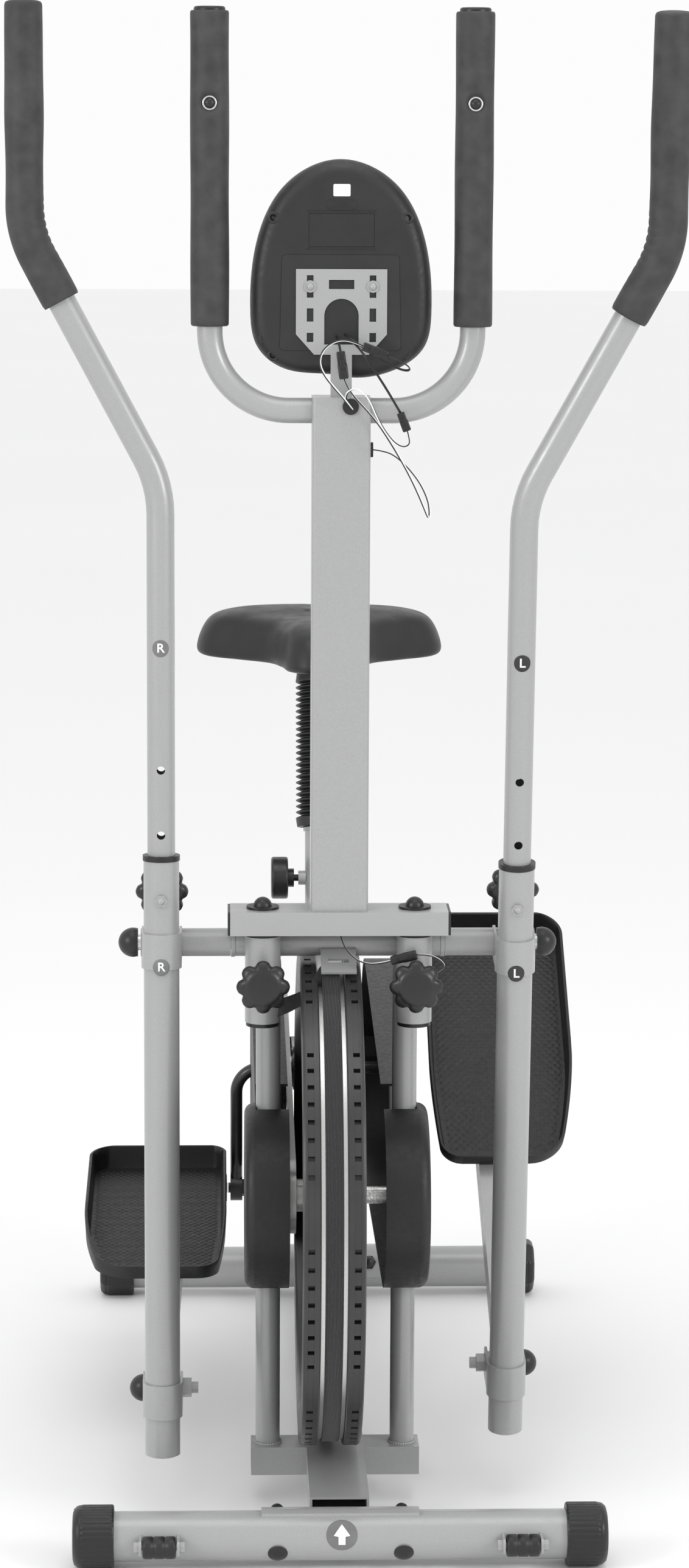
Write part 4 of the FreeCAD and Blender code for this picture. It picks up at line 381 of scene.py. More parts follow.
GREY = powder_coat()
WHEEL_PAINT = dark_enamel("wheel_paint", (0.022, 0.022, 0.023), 0.42)
BLACK_STEEL = dark_enamel("black_enamel", (0.016, 0.016, 0.017), 0.28)
BLACK_PLASTIC = moulded_plastic("black_plastic", (0.009, 0.009, 0.0095), 0.38)
KNOB_PLASTIC = moulded_plastic("knob_plastic", (0.012, 0.012, 0.013), 0.32, 2200, 0.00006)
CONSOLE_BLACK = moulded_plastic("console_plastic", (0.012, 0.012, 0.013), 0.45, 2600, 0.0001)
# painted shade: a darker copy of the console plastic for the lid's frame lines, the latch recess and the screw
# holes, standing in for the shade inside them
RECESS_PAINTED_SHADE = moulded_plastic("console_recess_painted_shade", (0.008, 0.008, 0.009), 0.6)
CONSOLE_GREY = moulded_plastic("console_bezel", (0.50, 0.505, 0.51), 0.35, 1800, 0.00004)
COVER_PLASTIC = moulded_plastic("cover_plastic", (0.008, 0.008, 0.0085), 0.46, 2000, 0.0001)
PEDAL_PLASTIC = moulded_plastic("pedal_plastic", (0.009, 0.009, 0.0095), 0.5, 1700, 0.0001)
FOAM = grip_foam()
VINYL = seat_vinyl()
RUBBER = moulded_plastic("boot_rubber", (0.010, 0.010, 0.011), 0.42, 900, 0.0001)
ZINC = bare_steel("zinc_plate", (0.72, 0.72, 0.71), 0.26, (1, 1, 1))
STEEL = bare_steel("bright_steel", (0.60, 0.60, 0.59), 0.3, (40, 1, 1))
BELT = webbing(900)
GLASS = display_glass()
LEAD_BLACK = moulded_plastic("lead_black", (0.014, 0.014, 0.015), 0.35)
LEAD_WHITE = moulded_plastic("lead_white", (0.80, 0.80, 0.79), 0.38)
MARK_GREY = moulded_plastic("mark_grey", (0.16, 0.16, 0.163), 0.4)
MARK_WHITE = moulded_plastic("mark_white", (0.86, 0.86, 0.86), 0.4)
MARK_BLACK = moulded_plastic("mark_black", (0.02, 0.02, 0.02), 0.35)

NODE_FINISHES = {
    "front_stabiliser": GREY, "rear_stabiliser": GREY, "stabiliser_end_caps": BLACK_PLASTIC,
    "main_beam": GREY, "frame_bolts": BLACK_PLASTIC, "front_fork": GREY, "cross_tube": GREY,
    "frame_axles": ZINC, "end_plugs": BLACK_PLASTIC, "console_post": GREY, "fixed_handlebar": GREY,
    "fixed_grips": FOAM, "console_bracket": GREY, "console_back": CONSOLE_BLACK,
    "console_face": CONSOLE_GREY, "console_screen": GLASS, "battery_door": CONSOLE_BLACK,
    "mode_button": BLACK_PLASTIC, "seat_tube": GREY, "seat_post": STEEL, "seat_knob": KNOB_PLASTIC,
    "bottom_bracket": BLACK_STEEL, "crank": BLACK_STEEL, "chain": STEEL,
    "left_chain_cover": COVER_PLASTIC, "right_chain_cover": COVER_PLASTIC, "flywheel_band": STEEL,
    "flywheel_hub": STEEL, "belt_spring": ZINC, "right_roller": RUBBER, "left_roller": RUBBER,
    "right_lower_arm": GREY, "left_lower_arm": GREY, "right_arm_collar": BLACK_PLASTIC,
    "left_arm_collar": BLACK_PLASTIC, "right_upper_arm": GREY, "left_upper_arm": GREY,
    "right_foot_bar": GREY, "left_foot_bar": GREY,
}


def dress_cad_nodes():
    for name, finish in NODE_FINISHES.items():
        slots = nodes[name].data.materials
        if len(slots) == 0:
            slots.append(finish)
        for k in range(len(slots)):
            slots[k] = finish


# ---- flywheel ------------------------------------------------------------------------------------
def flywheel():
    """A wheel turned from its section, with notches in both lands beside the belt groove: inside a
    notch's span of angle, the land's radius drops by the notch depth."""
    low, high = node_box("flywheel_shell")
    radius = (high[2] - low[2]) / 2
    half = (high[0] - low[0]) / 2
    x0 = (high[0] + low[0]) / 2
    groove = 0.0135
    band = radius - 0.008
    notch_in, notch_out = 0.0195, 0.0262
    lip = radius - 0.0004
    side = [(half, radius - 0.028), (half, radius - 0.003), (half - 0.001, radius - 0.001),
            (half - 0.003, radius), (notch_out, radius), (notch_out, lip), (notch_in, lip),
            (notch_in, radius), (groove + 0.001, radius), (groove, radius - 0.001), (groove, band)]
    web = [(0.012, 0.026), (0.012, radius - 0.062), (0.0135, radius - 0.055), (half - 0.004, radius - 0.036),
           (half - 0.001, radius - 0.033)]
    half_section = web + side
    profile = np.array([(-x, r) for x, r in half_section] + half_section[::-1])
    in_notch = np.isclose(profile[:, 1], lip)
    width = NOTCH_WIDTH / radius
    edge = 0.0004 / radius
    starts = []
    for group in range(NOTCH_GROUPS):
        middle = group * TAU / NOTCH_GROUPS + 0.2
        starts += [middle + (k - (NOTCHES_IN_GROUP - 1) / 2) * NOTCH_PITCH - width / 2
                   for k in range(NOTCHES_IN_GROUP)]
    marks = np.array([[a, a + edge, a + width - edge, a + width] for a in starts]).ravel()
    plain = np.linspace(0, TAU, 361)
    near = np.abs(((plain[:, None] - marks[None, :] + math.pi) % TAU) - math.pi).min(1) < 0.004
    angle = np.unique(np.concatenate([plain[~near], marks % TAU, [0, TAU]]))
    offset = ((angle[:, None] - np.array(starts)[None, :]) % TAU)
    inside = ((offset > edge * 0.5) & (offset < width - edge * 0.5)).any(1)
    depth = np.where(inside[:, None] & in_notch[None, :], NOTCH_DEPTH, 0.0)
    r = profile[None, :, 1] - depth
    grid = np.stack([x0 + profile[None, :, 0] + np.zeros_like(r),
                     WHEEL[1] + r * np.cos(angle)[:, None], WHEEL[2] + r * np.sin(angle)[:, None]], -1)
    closed = np.concatenate([grid, grid[:, :1]], 1)
    mesh = grid_mesh("flywheel_body", [closed])
    piece = finish_mesh("flywheel_body", mesh, "flywheel", WHEEL_PAINT,
                        replaced=["flywheel_shell"])
    mesh.set_sharp_from_angle(angle=math.radians(35))
    return piece


def unit_rows(vectors):
    """Each row divided by its own length."""
    return vectors / np.linalg.norm(vectors, axis=1)[:, None]


def strap_grid(line, across, width, thick):
    """A flat strap: a rounded oblong section, width by thick, carried along a line of centres, with
    its width as near to across as squareness to the line allows."""
    tangent = unit_rows(np.gradient(line, axis=0))
    across = across - tangent * (across * tangent).sum(1)[:, None]
    across = unit_rows(across)
    normal = np.cross(tangent, across)
    u = np.array([-1, -0.94, -0.5, 0, 0.5, 0.94, 1, 0.94, 0.5, 0, -0.5, -0.94, -1]) * width / 2
    v = np.array([0, 1, 0.9, 0.88, 0.9, 1, 0, -1, -0.9, -0.88, -0.9, -1, 0]) * thick / 2
    grid = line[:, None] + u[None, :, None] * across[:, None] + v[None, :, None] * normal[:, None]
    first = np.repeat(grid[:1].mean(1, keepdims=True), len(u), 1)
    last = np.repeat(grid[-1:].mean(1, keepdims=True), len(u), 1)
    return np.concatenate([first, grid, last])


def brake_belt():
    """The webbing belt round the flywheel's front, from the plate's slot to the spring, and its loose
    tail, which falls in front of the wheel and behind the right-hand knob, turning on edge as it goes."""
    low, high = node_box("brake_belt")
    x0 = (low[0] + high[0]) / 2
    width = high[0] - low[0]
    band_low, band_high = node_box("flywheel_band")
    radius = (band_high[2] - band_low[2]) / 2 + 0.0012
    angle = np.radians(np.linspace(112, 270, 120))
    wrap = np.stack([np.full(len(angle), x0), WHEEL[1] + radius * np.cos(angle),
                     WHEEL[2] + radius * np.sin(angle)], -1)
    slot = np.array([x0, PIVOT[1] - 0.0315, PIVOT[2] - 0.0165])
    top = slot + (wrap[0] - slot) * np.linspace(0, 0.93, 12)[:, None]
    end = np.array([x0, high[1], WHEEL[2] - radius])
    bottom = wrap[-1] + (end - wrap[-1]) * np.linspace(0.06, 1, 12)[:, None]
    line = np.concatenate([top, wrap, bottom])
    level = np.tile([1.0, 0.0, 0.0], (len(line), 1))
    belt = strap_grid(line, level, width, BELT_THICK)
    fall = np.array([(0, -0.001, 0.001), (-0.004, -0.011, -0.004), (-0.012, -0.016, -0.018),
                     (-0.026, -0.015, -0.030), (-0.042, -0.010, -0.039), (-0.058, -0.007, -0.046),
                     (-0.073, -0.007, -0.053)])
    tail_line = smooth_line(slot + fall, 10)
    turn = np.sin(np.linspace(0, math.pi / 2, len(tail_line)))[:, None]
    leaning = (1 - turn) * np.array([1.0, 0.0, 0.0]) + turn * np.array([0.35, 0.25, 0.9])
    tail = strap_grid(tail_line, leaning, width * 0.94, 0.0018)
    mesh = grid_mesh("brake_webbing", [belt, tail])
    return finish_mesh("brake_webbing", mesh, "frame", BELT, replaced=["brake_belt"])


# ---- knobs -----------------------------------------------------------------------------------------
def star_knob(node, body, joint, tip):
    """A hand knob: a stem and a domed head turned round the screw's axis, whose rim has eight rounded
    lobes, made by scaling the radius with the cosine of eight times the angle."""
    low, high = node_box(node)
    axis = joint_axis(joint) * tip
    centre = joint_at(joint)
    if tip < 0:
        corners = np.array([[x, y, z] for x in (low[0], high[0]) for y in (low[1], high[1])
                            for z in (low[2], high[2])])
        base = ((corners - centre) @ axis).max() - 0.026
    else:
        base = ((np.array([low, high]) - centre) @ axis).max() - 0.0262
    profile = [(0, 0), (0.0075, 0), (0.0078, 0.0065), (0.0125, 0.0080), (0.0185, 0.0090), (0.0225, 0.0100),
               (0.0250, 0.0130), (0.0258, 0.0160), (0.0256, 0.0185), (0.0240, 0.0212), (0.0205, 0.0232),
               (0.0185, 0.0237), (0.0180, 0.0242), (0.0150, 0.0252), (0.0100, 0.0258), (0.0050, 0.0260),
               (0, 0.0260)]
    share = np.array([0, 0, 0, 0.1, 0.45, 0.8, 1, 1, 1, 0.8, 0.3, 0.05, 0, 0, 0, 0, 0])

    def lobes(angle, row):
        wave = np.cos(8 * angle)
        return 1 + share[row] * (0.045 * wave - 0.085 * np.clip(-wave, 0, 1) ** 2)

    grid = turned_grid(profile, centre + axis * base, axis, 192, lobes)
    mesh = grid_mesh(node + "_star", [grid])
    piece = finish_mesh(node + "_star", mesh, body, KNOB_PLASTIC, replaced=[node])
    mesh.set_sharp_from_angle(angle=math.radians(50))
    knob_screw(node + "_screw", body, joint, tip, base - 0.0110, 0.0114)
    return piece


def knob_screw(name, body, joint, tip, start, length):
    """The plated screw between a knob and its tube, with a shallow thread as a ripple in its radius."""
    axis = joint_axis(joint) * tip
    rows = 40
    height = np.linspace(start, start + length, rows)
    radius = 0.0039 + 0.0002 * np.cos(height / 0.00125 * TAU)
    profile = [(0, start)] + list(zip(radius, height)) + [(0, start + length)]
    mesh = grid_mesh(name, [turned_grid(profile, joint_at(joint), axis, 24)])
    return finish_mesh(name, mesh, body, ZINC)


# ---- stabiliser caps -------------------------------------------------------------------------------
def stabiliser_caps():
    """Front caps: a ribbed sleeve whose radius ripples with the angle, then a smooth rounded end.
    Rear caps: the same profile with an eight-sided section."""
    high = node_box("stabiliser_end_caps")[1]
    outer = high[0]
    radius = CAP_RADIUS
    length = outer - CAP_START_X
    profile = [(0.0255, -0.0005), (radius - 0.0012, 0), (radius - 0.0002, 0.0012), (radius, 0.003),
               (radius, 0.030), (radius - 0.0003, 0.0318), (radius - 0.001, 0.0325), (radius - 0.0008, 0.0335),
               (radius - 0.0016, 0.0365), (radius - 0.0045, 0.0398), (radius - 0.009, length),
               (0.018, length), (0, length)]
    ribbed = np.array([0, 0, 0.4, 1, 1, 1, 0, 0, 0, 0, 0, 0, 0])

    def ribs(angle, row):
        return 1 - 0.028 * ribbed[row] * np.clip(np.cos(34 * angle), -0.35, 1) * 0.5 - 0.014 * ribbed[row]

    def eight_sided(angle, row):
        away = (angle + math.pi / 8) % (math.pi / 4) - math.pi / 8
        flat = np.cos(away) ** -1
        return np.where(row > 0, np.minimum(flat, 1.0824 * 0.985), 1.0)

    for label, y, shape in (("front", FRONT_AXIS_Y, ribs), ("rear", high[1] - radius, eight_sided)):
        for side_name, side in SIDES:
            start = np.array([side * CAP_START_X, y, radius])
            grid = turned_grid(profile, start, (side, 0, 0), 340, shape)
            name = "%s_%s_cap" % (label, side_name)
            mesh = grid_mesh(name, [grid])
            finish_mesh(name, mesh, "frame", BLACK_PLASTIC,
                        replaced=["stabiliser_end_caps"])
            mesh.set_sharp_from_angle(angle=math.radians(40))


# ---- pedals ----------------------------------------------------------------------------------------
def pedal_frame(side):
    """The foot bar's own frame: its front pivot, and unit vectors outwards, along it and up."""
    name = "right" if side < 0 else "left"
    pivot = joint_at(name + "_foot_pitch")
    eye = CRANK + CRANK_RADIUS * np.array([0, -side * math.sin(CRANK_TILT), side * math.cos(CRANK_TILT)])
    along = eye - pivot
    along[0] = 0
    along /= np.linalg.norm(along)
    up = np.array([0, -along[2], along[1]])
    return np.array([0, pivot[1], pivot[2]]), np.array([side, 0, 0]), along, up


def pedal(side):
    """A tray on a grid over its plan. The half width at a distance along the tray is the full width
    less the corners' rounding and the taper in front; the height is the tread, its dimples in a
    staggered pattern, and a rim that rises smoothly within a few millimetres of the edge."""
    name = "right" if side < 0 else "left"
    origin, out, along, up = pedal_frame(side)
    length = PEDAL_LENGTH
    edge = np.array([0, 0.0008, 0.002, 0.0032, 0.0042, 0.0052, 0.0065, 0.009])
    rows = np.concatenate([edge, np.arange(0.0105, length - 0.0105, 0.00155), length - edge[::-1]])
    inner = np.linspace(-1, 1, 92)
    v = rows[:, None]

    def half_width(distance, taper, corner):
        width = PEDAL_HALF_W - taper * np.clip(1 - distance / 0.14, 0, 1) ** 1.6
        near_front = np.clip(corner - distance, 0, corner)
        near_rear = np.clip(corner - (length - distance), 0, corner)
        near = np.maximum(near_front, near_rear)
        return width - corner + np.sqrt(np.clip(corner ** 2 - near ** 2, 0, None))

    outer_x = half_width(v, 0.020, 0.034)
    inner_x = -half_width(v, 0.010, 0.022)
    left = inner_x + edge[None, :]
    right = outer_x - edge[None, ::-1]
    middle = (inner_x + 0.0105) + (inner[None, :] + 1) / 2 * (outer_x - inner_x - 0.021)
    x = np.concatenate([left, middle, right], 1)
    y = v + np.zeros_like(x)
    gap = np.minimum(np.minimum(x - inner_x, outer_x - x), np.minimum(y, length - y))
    rim = 0.014 + 0.016 * np.clip(y / length * 2.2, 0, 1) ** 1.3
    rise = np.clip((0.0062 - gap) / 0.0032, 0, 1)
    rise = rise * rise * (3 - 2 * rise)
    outer_round = np.clip((0.0016 - gap) / 0.0016, 0, 1) ** 2 * 0.0011
    dome = 1 - np.clip(gap / 0.012, 0, 1)
    px = 0.0086
    py = 0.0050
    line = np.round(y / py)
    shift = np.where(line % 2 == 0, 0.0, px / 2)
    dx = (x - shift + px / 2) % px - px / 2
    dy = y - line * py
    spot = np.clip(1 - (dx / 0.0030) ** 2 - (dy / 0.0019) ** 2, 0, 1)
    on_tread = (gap > 0.012) & (y > 0.016) & (y < length - 0.02)
    dimple = np.where(on_tread, 0.0011 * np.sqrt(spot), 0)
    tread = 0.0042 + 0.0012 * dome ** 2
    z = np.maximum(tread + dimple, 0) + rise * (rim - 0.0042) - outer_round
    top = origin + (PEDAL_MID_X + x)[..., None] * out + (PEDAL_START + y)[..., None] * along \
        + (PEDAL_FLOOR + z)[..., None] * up
    rows_n, cols_n = top.shape[:2]
    below = origin + (PEDAL_MID_X + x * 0.985)[..., None] * out \
        + (PEDAL_START + 0.002 + y * 0.989)[..., None] * along + PEDAL_FLOOR * up
    border = [(0, c) for c in range(cols_n)] + [(r, cols_n - 1) for r in range(1, rows_n)] \
        + [(rows_n - 1, c) for c in range(cols_n - 2, -1, -1)] + [(r, 0) for r in range(rows_n - 2, 0, -1)]
    index_r, index_c = np.array(border).T
    ring_top = index_r * cols_n + index_c
    count = len(border)
    ring_low = rows_n * cols_n + np.arange(count)
    walls = np.stack([ring_top, np.roll(ring_top, -1), np.roll(ring_low, -1), ring_low], -1)
    points = np.concatenate([top.reshape(-1, 3), below[index_r, index_c]])
    faces = grid_faces(rows_n, cols_n).tolist() + walls.tolist() + [ring_low.tolist()]
    mesh = bpy.data.meshes.new(name + "_tread")
    mesh.from_pydata(points.tolist(), [], faces)
    piece = finish_mesh(name + "_tread", mesh, name + "_foot", PEDAL_PLASTIC,
                        replaced=[name + "_pedal"])
    mesh.set_sharp_from_angle(angle=math.radians(60))
    return piece


# ---- grips -----------------------------------------------------------------------------------------
def arm_grip(side):
    """Foam sleeve: a round section carried along the handle's bend, with a rounded top, a soft lower
    lip, and a few wrinkles inside the bend, which are ripples in the radius that fade with distance."""
    name = "right" if side < 0 else "left"
    up = joint_axis(name + "_handle_height")
    pivot = joint_at(name + "_arm_swing")
    back = np.array([0, up[2], -up[1]])
    base = np.array([0, pivot[1], pivot[2]]) - back * ARM_OFFSET
    x_arm, x_top = 0.1795, 0.3125
    bend_low, bend_high, top = 0.469, 0.717, 0.938
    start = 0.73

    def point(x, u):
        return base + up * u + np.array([side * x, 0, 0])

    corner = point(x_top, bend_high)
    begin = point(x_arm + (x_top - x_arm) * start, bend_low + (bend_high - bend_low) * start)
    finish = point(x_top, top)
    inward = (corner - begin) / np.linalg.norm(corner - begin)
    outward = (finish - corner) / np.linalg.norm(finish - corner)
    turn = math.acos(np.clip(inward @ outward, -1, 1))
    radius = 0.110
    reach = radius * math.tan(turn / 2)
    normal = outward - inward
    normal /= np.linalg.norm(normal)
    centre = corner + normal * radius / math.cos(turn / 2)
    bow = np.linspace(-turn / 2, turn / 2, 30)
    middle = (inward + outward) / np.linalg.norm(inward + outward)
    arc = centre + radius * (-np.cos(bow)[:, None] * normal + np.sin(bow)[:, None] * middle)
    first = begin + (corner - inward * reach - begin) * np.linspace(0, 0.96, 24)[:, None]
    last = corner + outward * reach + (finish - corner - outward * reach) * np.linspace(0.01, 1, 70)[:, None]
    cap_up = finish + outward * np.array([0.002, 0.0035, 0.0045, 0.005])[:, None]
    path = np.concatenate([first, arc, last, cap_up])
    size = np.full(len(path), 0.0190)
    size[:3] = [0.0182, 0.0187, 0.0190]
    size[-4:] = [0.0186, 0.0176, 0.0150, 0.0110]
    length = np.concatenate([[0], np.cumsum(np.linalg.norm(np.diff(path, axis=0), axis=1))])
    size = size + 0.00035 * np.sin(length * 38) + 0.0002 * np.sin(length * 71 + 1)
    grid = swept_grid(path, size, 48)
    inner_dir = normal
    offset = grid - np.concatenate([path[:1], path, path[-1:]])[:, None]
    facing = (offset @ inner_dir) / np.maximum(np.linalg.norm(offset, axis=2), 1e-6)
    at = np.concatenate([length[:1], length, length[-1:]])[:, None]
    bend_at = np.linalg.norm(corner - begin)
    fade = np.exp(-((at - bend_at) / 0.030) ** 2) * np.clip(facing, 0, 1) ** 1.5
    wrinkle = 1 - 0.055 * fade * np.clip(np.sin(at * TAU / 0.0095 + 1.5 * facing), 0, 1)
    grid = np.concatenate([path[:1], path, path[-1:]])[:, None] + offset * wrinkle[..., None]
    mesh = grid_mesh(name + "_foam_sleeve", [grid])
    piece = finish_mesh(name + "_foam_sleeve", mesh, name + "_handle", FOAM,
                        replaced=[name + "_arm_grip"])
    return piece


def fixed_grip(side):
    """Foam sleeve on a fixed handle: straight, with a dimple round its screw and a rounded top cap."""
    name = "right" if side < 0 else "left"
    low = node_box("fixed_grips")[0]
    x = side * FIXED_GRIP_X
    height = np.concatenate([[0, 0.0008, 0.0025], np.linspace(0.005, 0.303, 150), [0.3045, 0.3056, 0.306]])
    size = np.full(len(height), 0.0190)
    size[:3] = [0.0176, 0.0186, 0.0190]
    size[-3:] = [0.0188, 0.0183, 0.0174]
    size = size + 0.0002 * np.sin(height * 45 + side)
    base = np.array([x, ARMS_Y, low[2]])
    profile = [(0, 0)] + list(zip(size, height)) + [(0, height[-1])]
    grid = turned_grid(profile, base, (0, 0, 1), 96)
    screw = np.array([x, ARMS_Y - 0.019, SCREW_Z])
    away = np.linalg.norm((grid - screw)[..., [0, 2]], axis=2)
    front = grid[..., 1] < ARMS_Y
    dent = 0.0052 * np.clip(1 - (away / 0.0105) ** 3, 0, 1)
    grid[..., 1] += np.where(front, dent, 0)
    mesh = grid_mesh(name + "_fixed_foam", [grid])
    return finish_mesh(name + "_fixed_foam", mesh, "frame", FOAM, replaced=["fixed_grips"])


def grip_screw(side):
    """A plated cup washer with a domed, socketed screw head in it."""
    name = "right" if side < 0 else "left"
    start = np.array([side * FIXED_GRIP_X, ARMS_Y - 0.0142, SCREW_Z])
    washer = [(0.0030, 0.0), (0.0072, 0.0004), (0.0074, 0.0012), (0.0066, 0.0018), (0.0050, 0.0012),
              (0.0030, 0.0008)]
    head = [(0, 0.0006), (0.0046, 0.0006), (0.0048, 0.0018), (0.0044, 0.0030), (0.0034, 0.0038),
            (0.0020, 0.0041), (0.0019, 0.0024), (0, 0.0022)]
    grids = [turned_grid(washer, start, (0, -1, 0), 48), turned_grid(head, start, (0, -1, 0), 48)]
    mesh = grid_mesh(name + "_grip_screw", grids)
    return finish_mesh(name + "_grip_screw", mesh, "frame", ZINC)


# ---- seat ------------------------------------------------------------------------------------------
def seat_outline(count):
    """The saddle's plan, as a closed smooth line through listed points: a blunt nose, a waist, and
    two broad rounded wings."""
    low, high = node_box("seat_cushion")
    front, rear = low[1], high[1]
    half = 0.148
    points = [(0, front), (0.024, front + 0.003), (0.041, front + 0.022), (0.049, front + 0.062),
              (0.066, front + 0.103), (0.106, front + 0.137), (0.139, front + 0.164), (half, front + 0.196),
              (0.141, front + 0.228), (0.116, front + 0.252), (0.066, rear - 0.003), (0, rear)]
    mirrored = [(-x, y) for x, y in reversed(points[1:-1])]
    return smooth_line(points + mirrored, count, closed=True)


def seat():
    """A crowned saddle: rings of its plan, shrunk towards a centre line, at heights of a section that
    goes from the crown, over a soft shoulder and a flared skirt, to the flat base."""
    low, high = node_box("seat_cushion")
    plan = seat_outline(14)
    centre = np.array([0.0, low[1] + 0.155])
    share = np.array([0, 0.15, 0.3, 0.45, 0.58, 0.69, 0.78, 0.845, 0.885, 0.912, 0.935, 0.955, 0.972, 0.988,
                      0.997, 1.0, 0.996, 0.985, 0.955, 0.90, 0.5, 0])
    drop = np.array([0, 0.0003, 0.0010, 0.0022, 0.0038, 0.0058, 0.0085, 0.0118, 0.0155, 0.0195, 0.0245, 0.030,
                     0.036, 0.043, 0.049, 0.053, 0.0565, 0.0592, 0.061, 0.062, 0.062, 0.062])
    ring = centre + share[:, None, None] * (plan[None] - centre)
    y = ring[..., 1]
    lengthwise = (y - low[1]) / (high[1] - low[1])
    dish = 0.0065 * np.exp(-((lengthwise - 0.45) / 0.2) ** 2) * (1 - share[:, None] ** 3)
    nose = 0.010 * np.clip(1 - lengthwise / 0.4, 0, 1) ** 1.5
    skirt = np.clip(drop[:, None] / 0.062, 0, 1)
    valley = 0.003 * np.exp(-(ring[..., 0] / 0.010) ** 2) * (1 - share[:, None]) * (lengthwise > 0.3)
    z = high[2] - drop[:, None] - (dish + valley) * (1 - skirt) - nose * (1 - skirt)
    grid = np.concatenate([ring, z[..., None]], -1)
    mesh = grid_mesh("seat_saddle", [grid])
    piece = finish_mesh("seat_saddle", mesh, "seat", VINYL, replaced=["seat_cushion"])
    smooth = piece.modifiers.new("soft", "SUBSURF")
    smooth.levels = 1
    smooth.render_levels = 1
    return piece


def seat_boot():
    """A rubber bellows: a tube about the seat post whose radius swings between a crest and a valley
    at each fold, with a plain cuff at each end."""
    axis = joint_axis("seat_height")
    low, high = node_box("seat_boot")
    low_z = low[2] + 0.0077
    high_z = high[2] - 0.0077
    knob = joint_at("seat_knob_turn")
    start = np.array([0, knob[1], knob[2]])
    start = start + axis * ((low_z - start[2]) / axis[2])
    length = (high_z - low_z) / axis[2]
    steps = FOLDS * 10
    height = np.linspace(0, length, steps + 1)
    phase = np.clip((height - 0.010) / (length - 0.020), 0, 1) * FOLDS
    wave = np.abs(np.cos(math.pi * phase)) ** 1.6
    cuff = np.clip(np.minimum(height, length - height) / 0.010, 0, 1)
    radius = 0.0298 - 0.0068 * (1 - wave) * cuff - 0.0015 * (1 - cuff)
    profile = np.array([(0.0205, 0.0)] + list(zip(radius, height)) + [(0.0205, length), (0.0200, length * 0.5),
                                                                        (0.0205, 0.0)])
    mesh = grid_mesh("seat_bellows", [turned_grid(profile, start, axis, 72)])
    piece = finish_mesh("seat_bellows", mesh, "frame", RUBBER, replaced=["seat_boot"])
    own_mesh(piece)
    return piece


# ---- marks -----------------------------------------------------------------------------------------
def flat_glyph(name, size):
    """A generic letter as a flat mesh in its own plane, made from the built-in font."""
    text = bpy.data.curves.new(name, "FONT")
    text.body = name
    text.align_x = "CENTER"
    text.align_y = "CENTER"
    text.size = size
    text.offset = size * 0.02
    holder = bpy.data.objects.new(name + "_text", text)
    bpy.context.scene.collection.objects.link(holder)
    bpy.context.view_layer.update()
    mesh = bpy.data.meshes.new_from_object(holder)
    bpy.data.objects.remove(holder)
    return mesh


def mark_on_tube(name, letter, body, centre, axis, front, tube_radius, disc_radius, ground):
    """A round label that hugs a tube: points of a flat disc, and of the letter on it, are wrapped round
    the tube, so that sideways distance becomes angle."""
    axis = np.asarray(axis, float)
    front = np.asarray(front, float)
    across = np.cross(axis, front)
    across = across if across[0] > 0 else -across

    def wrap(flat, lift):
        angle = flat[:, 0] / tube_radius
        out = np.broadcast_to(tube_radius + lift, angle.shape)[:, None]
        around = np.cos(angle)[:, None] * front + np.sin(angle)[:, None] * across
        return centre + out * around + flat[:, 1][:, None] * axis

    spokes = np.linspace(0, TAU, 49)
    rings = np.array([0, 0.5, 0.9, 1.0, 1.0])
    lift = np.array([0.00042, 0.00042, 0.00042, 0.00036, 0.00002])
    flat = np.stack([rings[:, None] * np.cos(spokes), rings[:, None] * np.sin(spokes)], -1) * disc_radius
    points = wrap(flat.reshape(-1, 2), np.repeat(lift, len(spokes))).reshape(len(rings), len(spokes), 3)
    disc = finish_mesh(name + "_disc", grid_mesh(name + "_disc", [points]), body, ground)
    if letter is None:
        return disc
    glyph = flat_glyph(letter, disc_radius * 1.5)
    work = bmesh.new()
    work.from_mesh(glyph)
    bmesh.ops.triangulate(work, faces=work.faces)
    bmesh.ops.subdivide_edges(work, edges=work.edges, cuts=1, use_grid_fill=False)
    bmesh.ops.triangulate(work, faces=work.faces)
    work.to_mesh(glyph)
    work.free()
    co = np.empty(len(glyph.vertices) * 3)
    glyph.vertices.foreach_get("co", co)
    co = co.reshape(-1, 3)
    glyph.vertices.foreach_set("co", wrap(co[:, :2], 0.0006).ravel())
    glyph.name = name + "_letter"
    return flat_piece(name + "_letter", glyph, body, front)


def flat_piece(name, mesh, body, front):
    """Puts a flat mark on its body with its faces turned to the front."""
    mesh.materials.clear()
    mesh.materials.append(MARK_WHITE)
    piece = bpy.data.objects.new(name, mesh)
    bpy.context.scene.collection.objects.link(piece)
    work = bmesh.new()
    work.from_mesh(mesh)
    towards = Vector(front)
    for face in work.faces:
        face.normal_update()
        if face.normal.dot(towards) < 0:
            face.normal_flip()
    work.to_mesh(mesh)
    work.free()
    thick = piece.modifiers.new("thickness", "SOLIDIFY")
    thick.thickness = 0.0003
    thick.offset = 0
    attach(piece, body)
    return piece


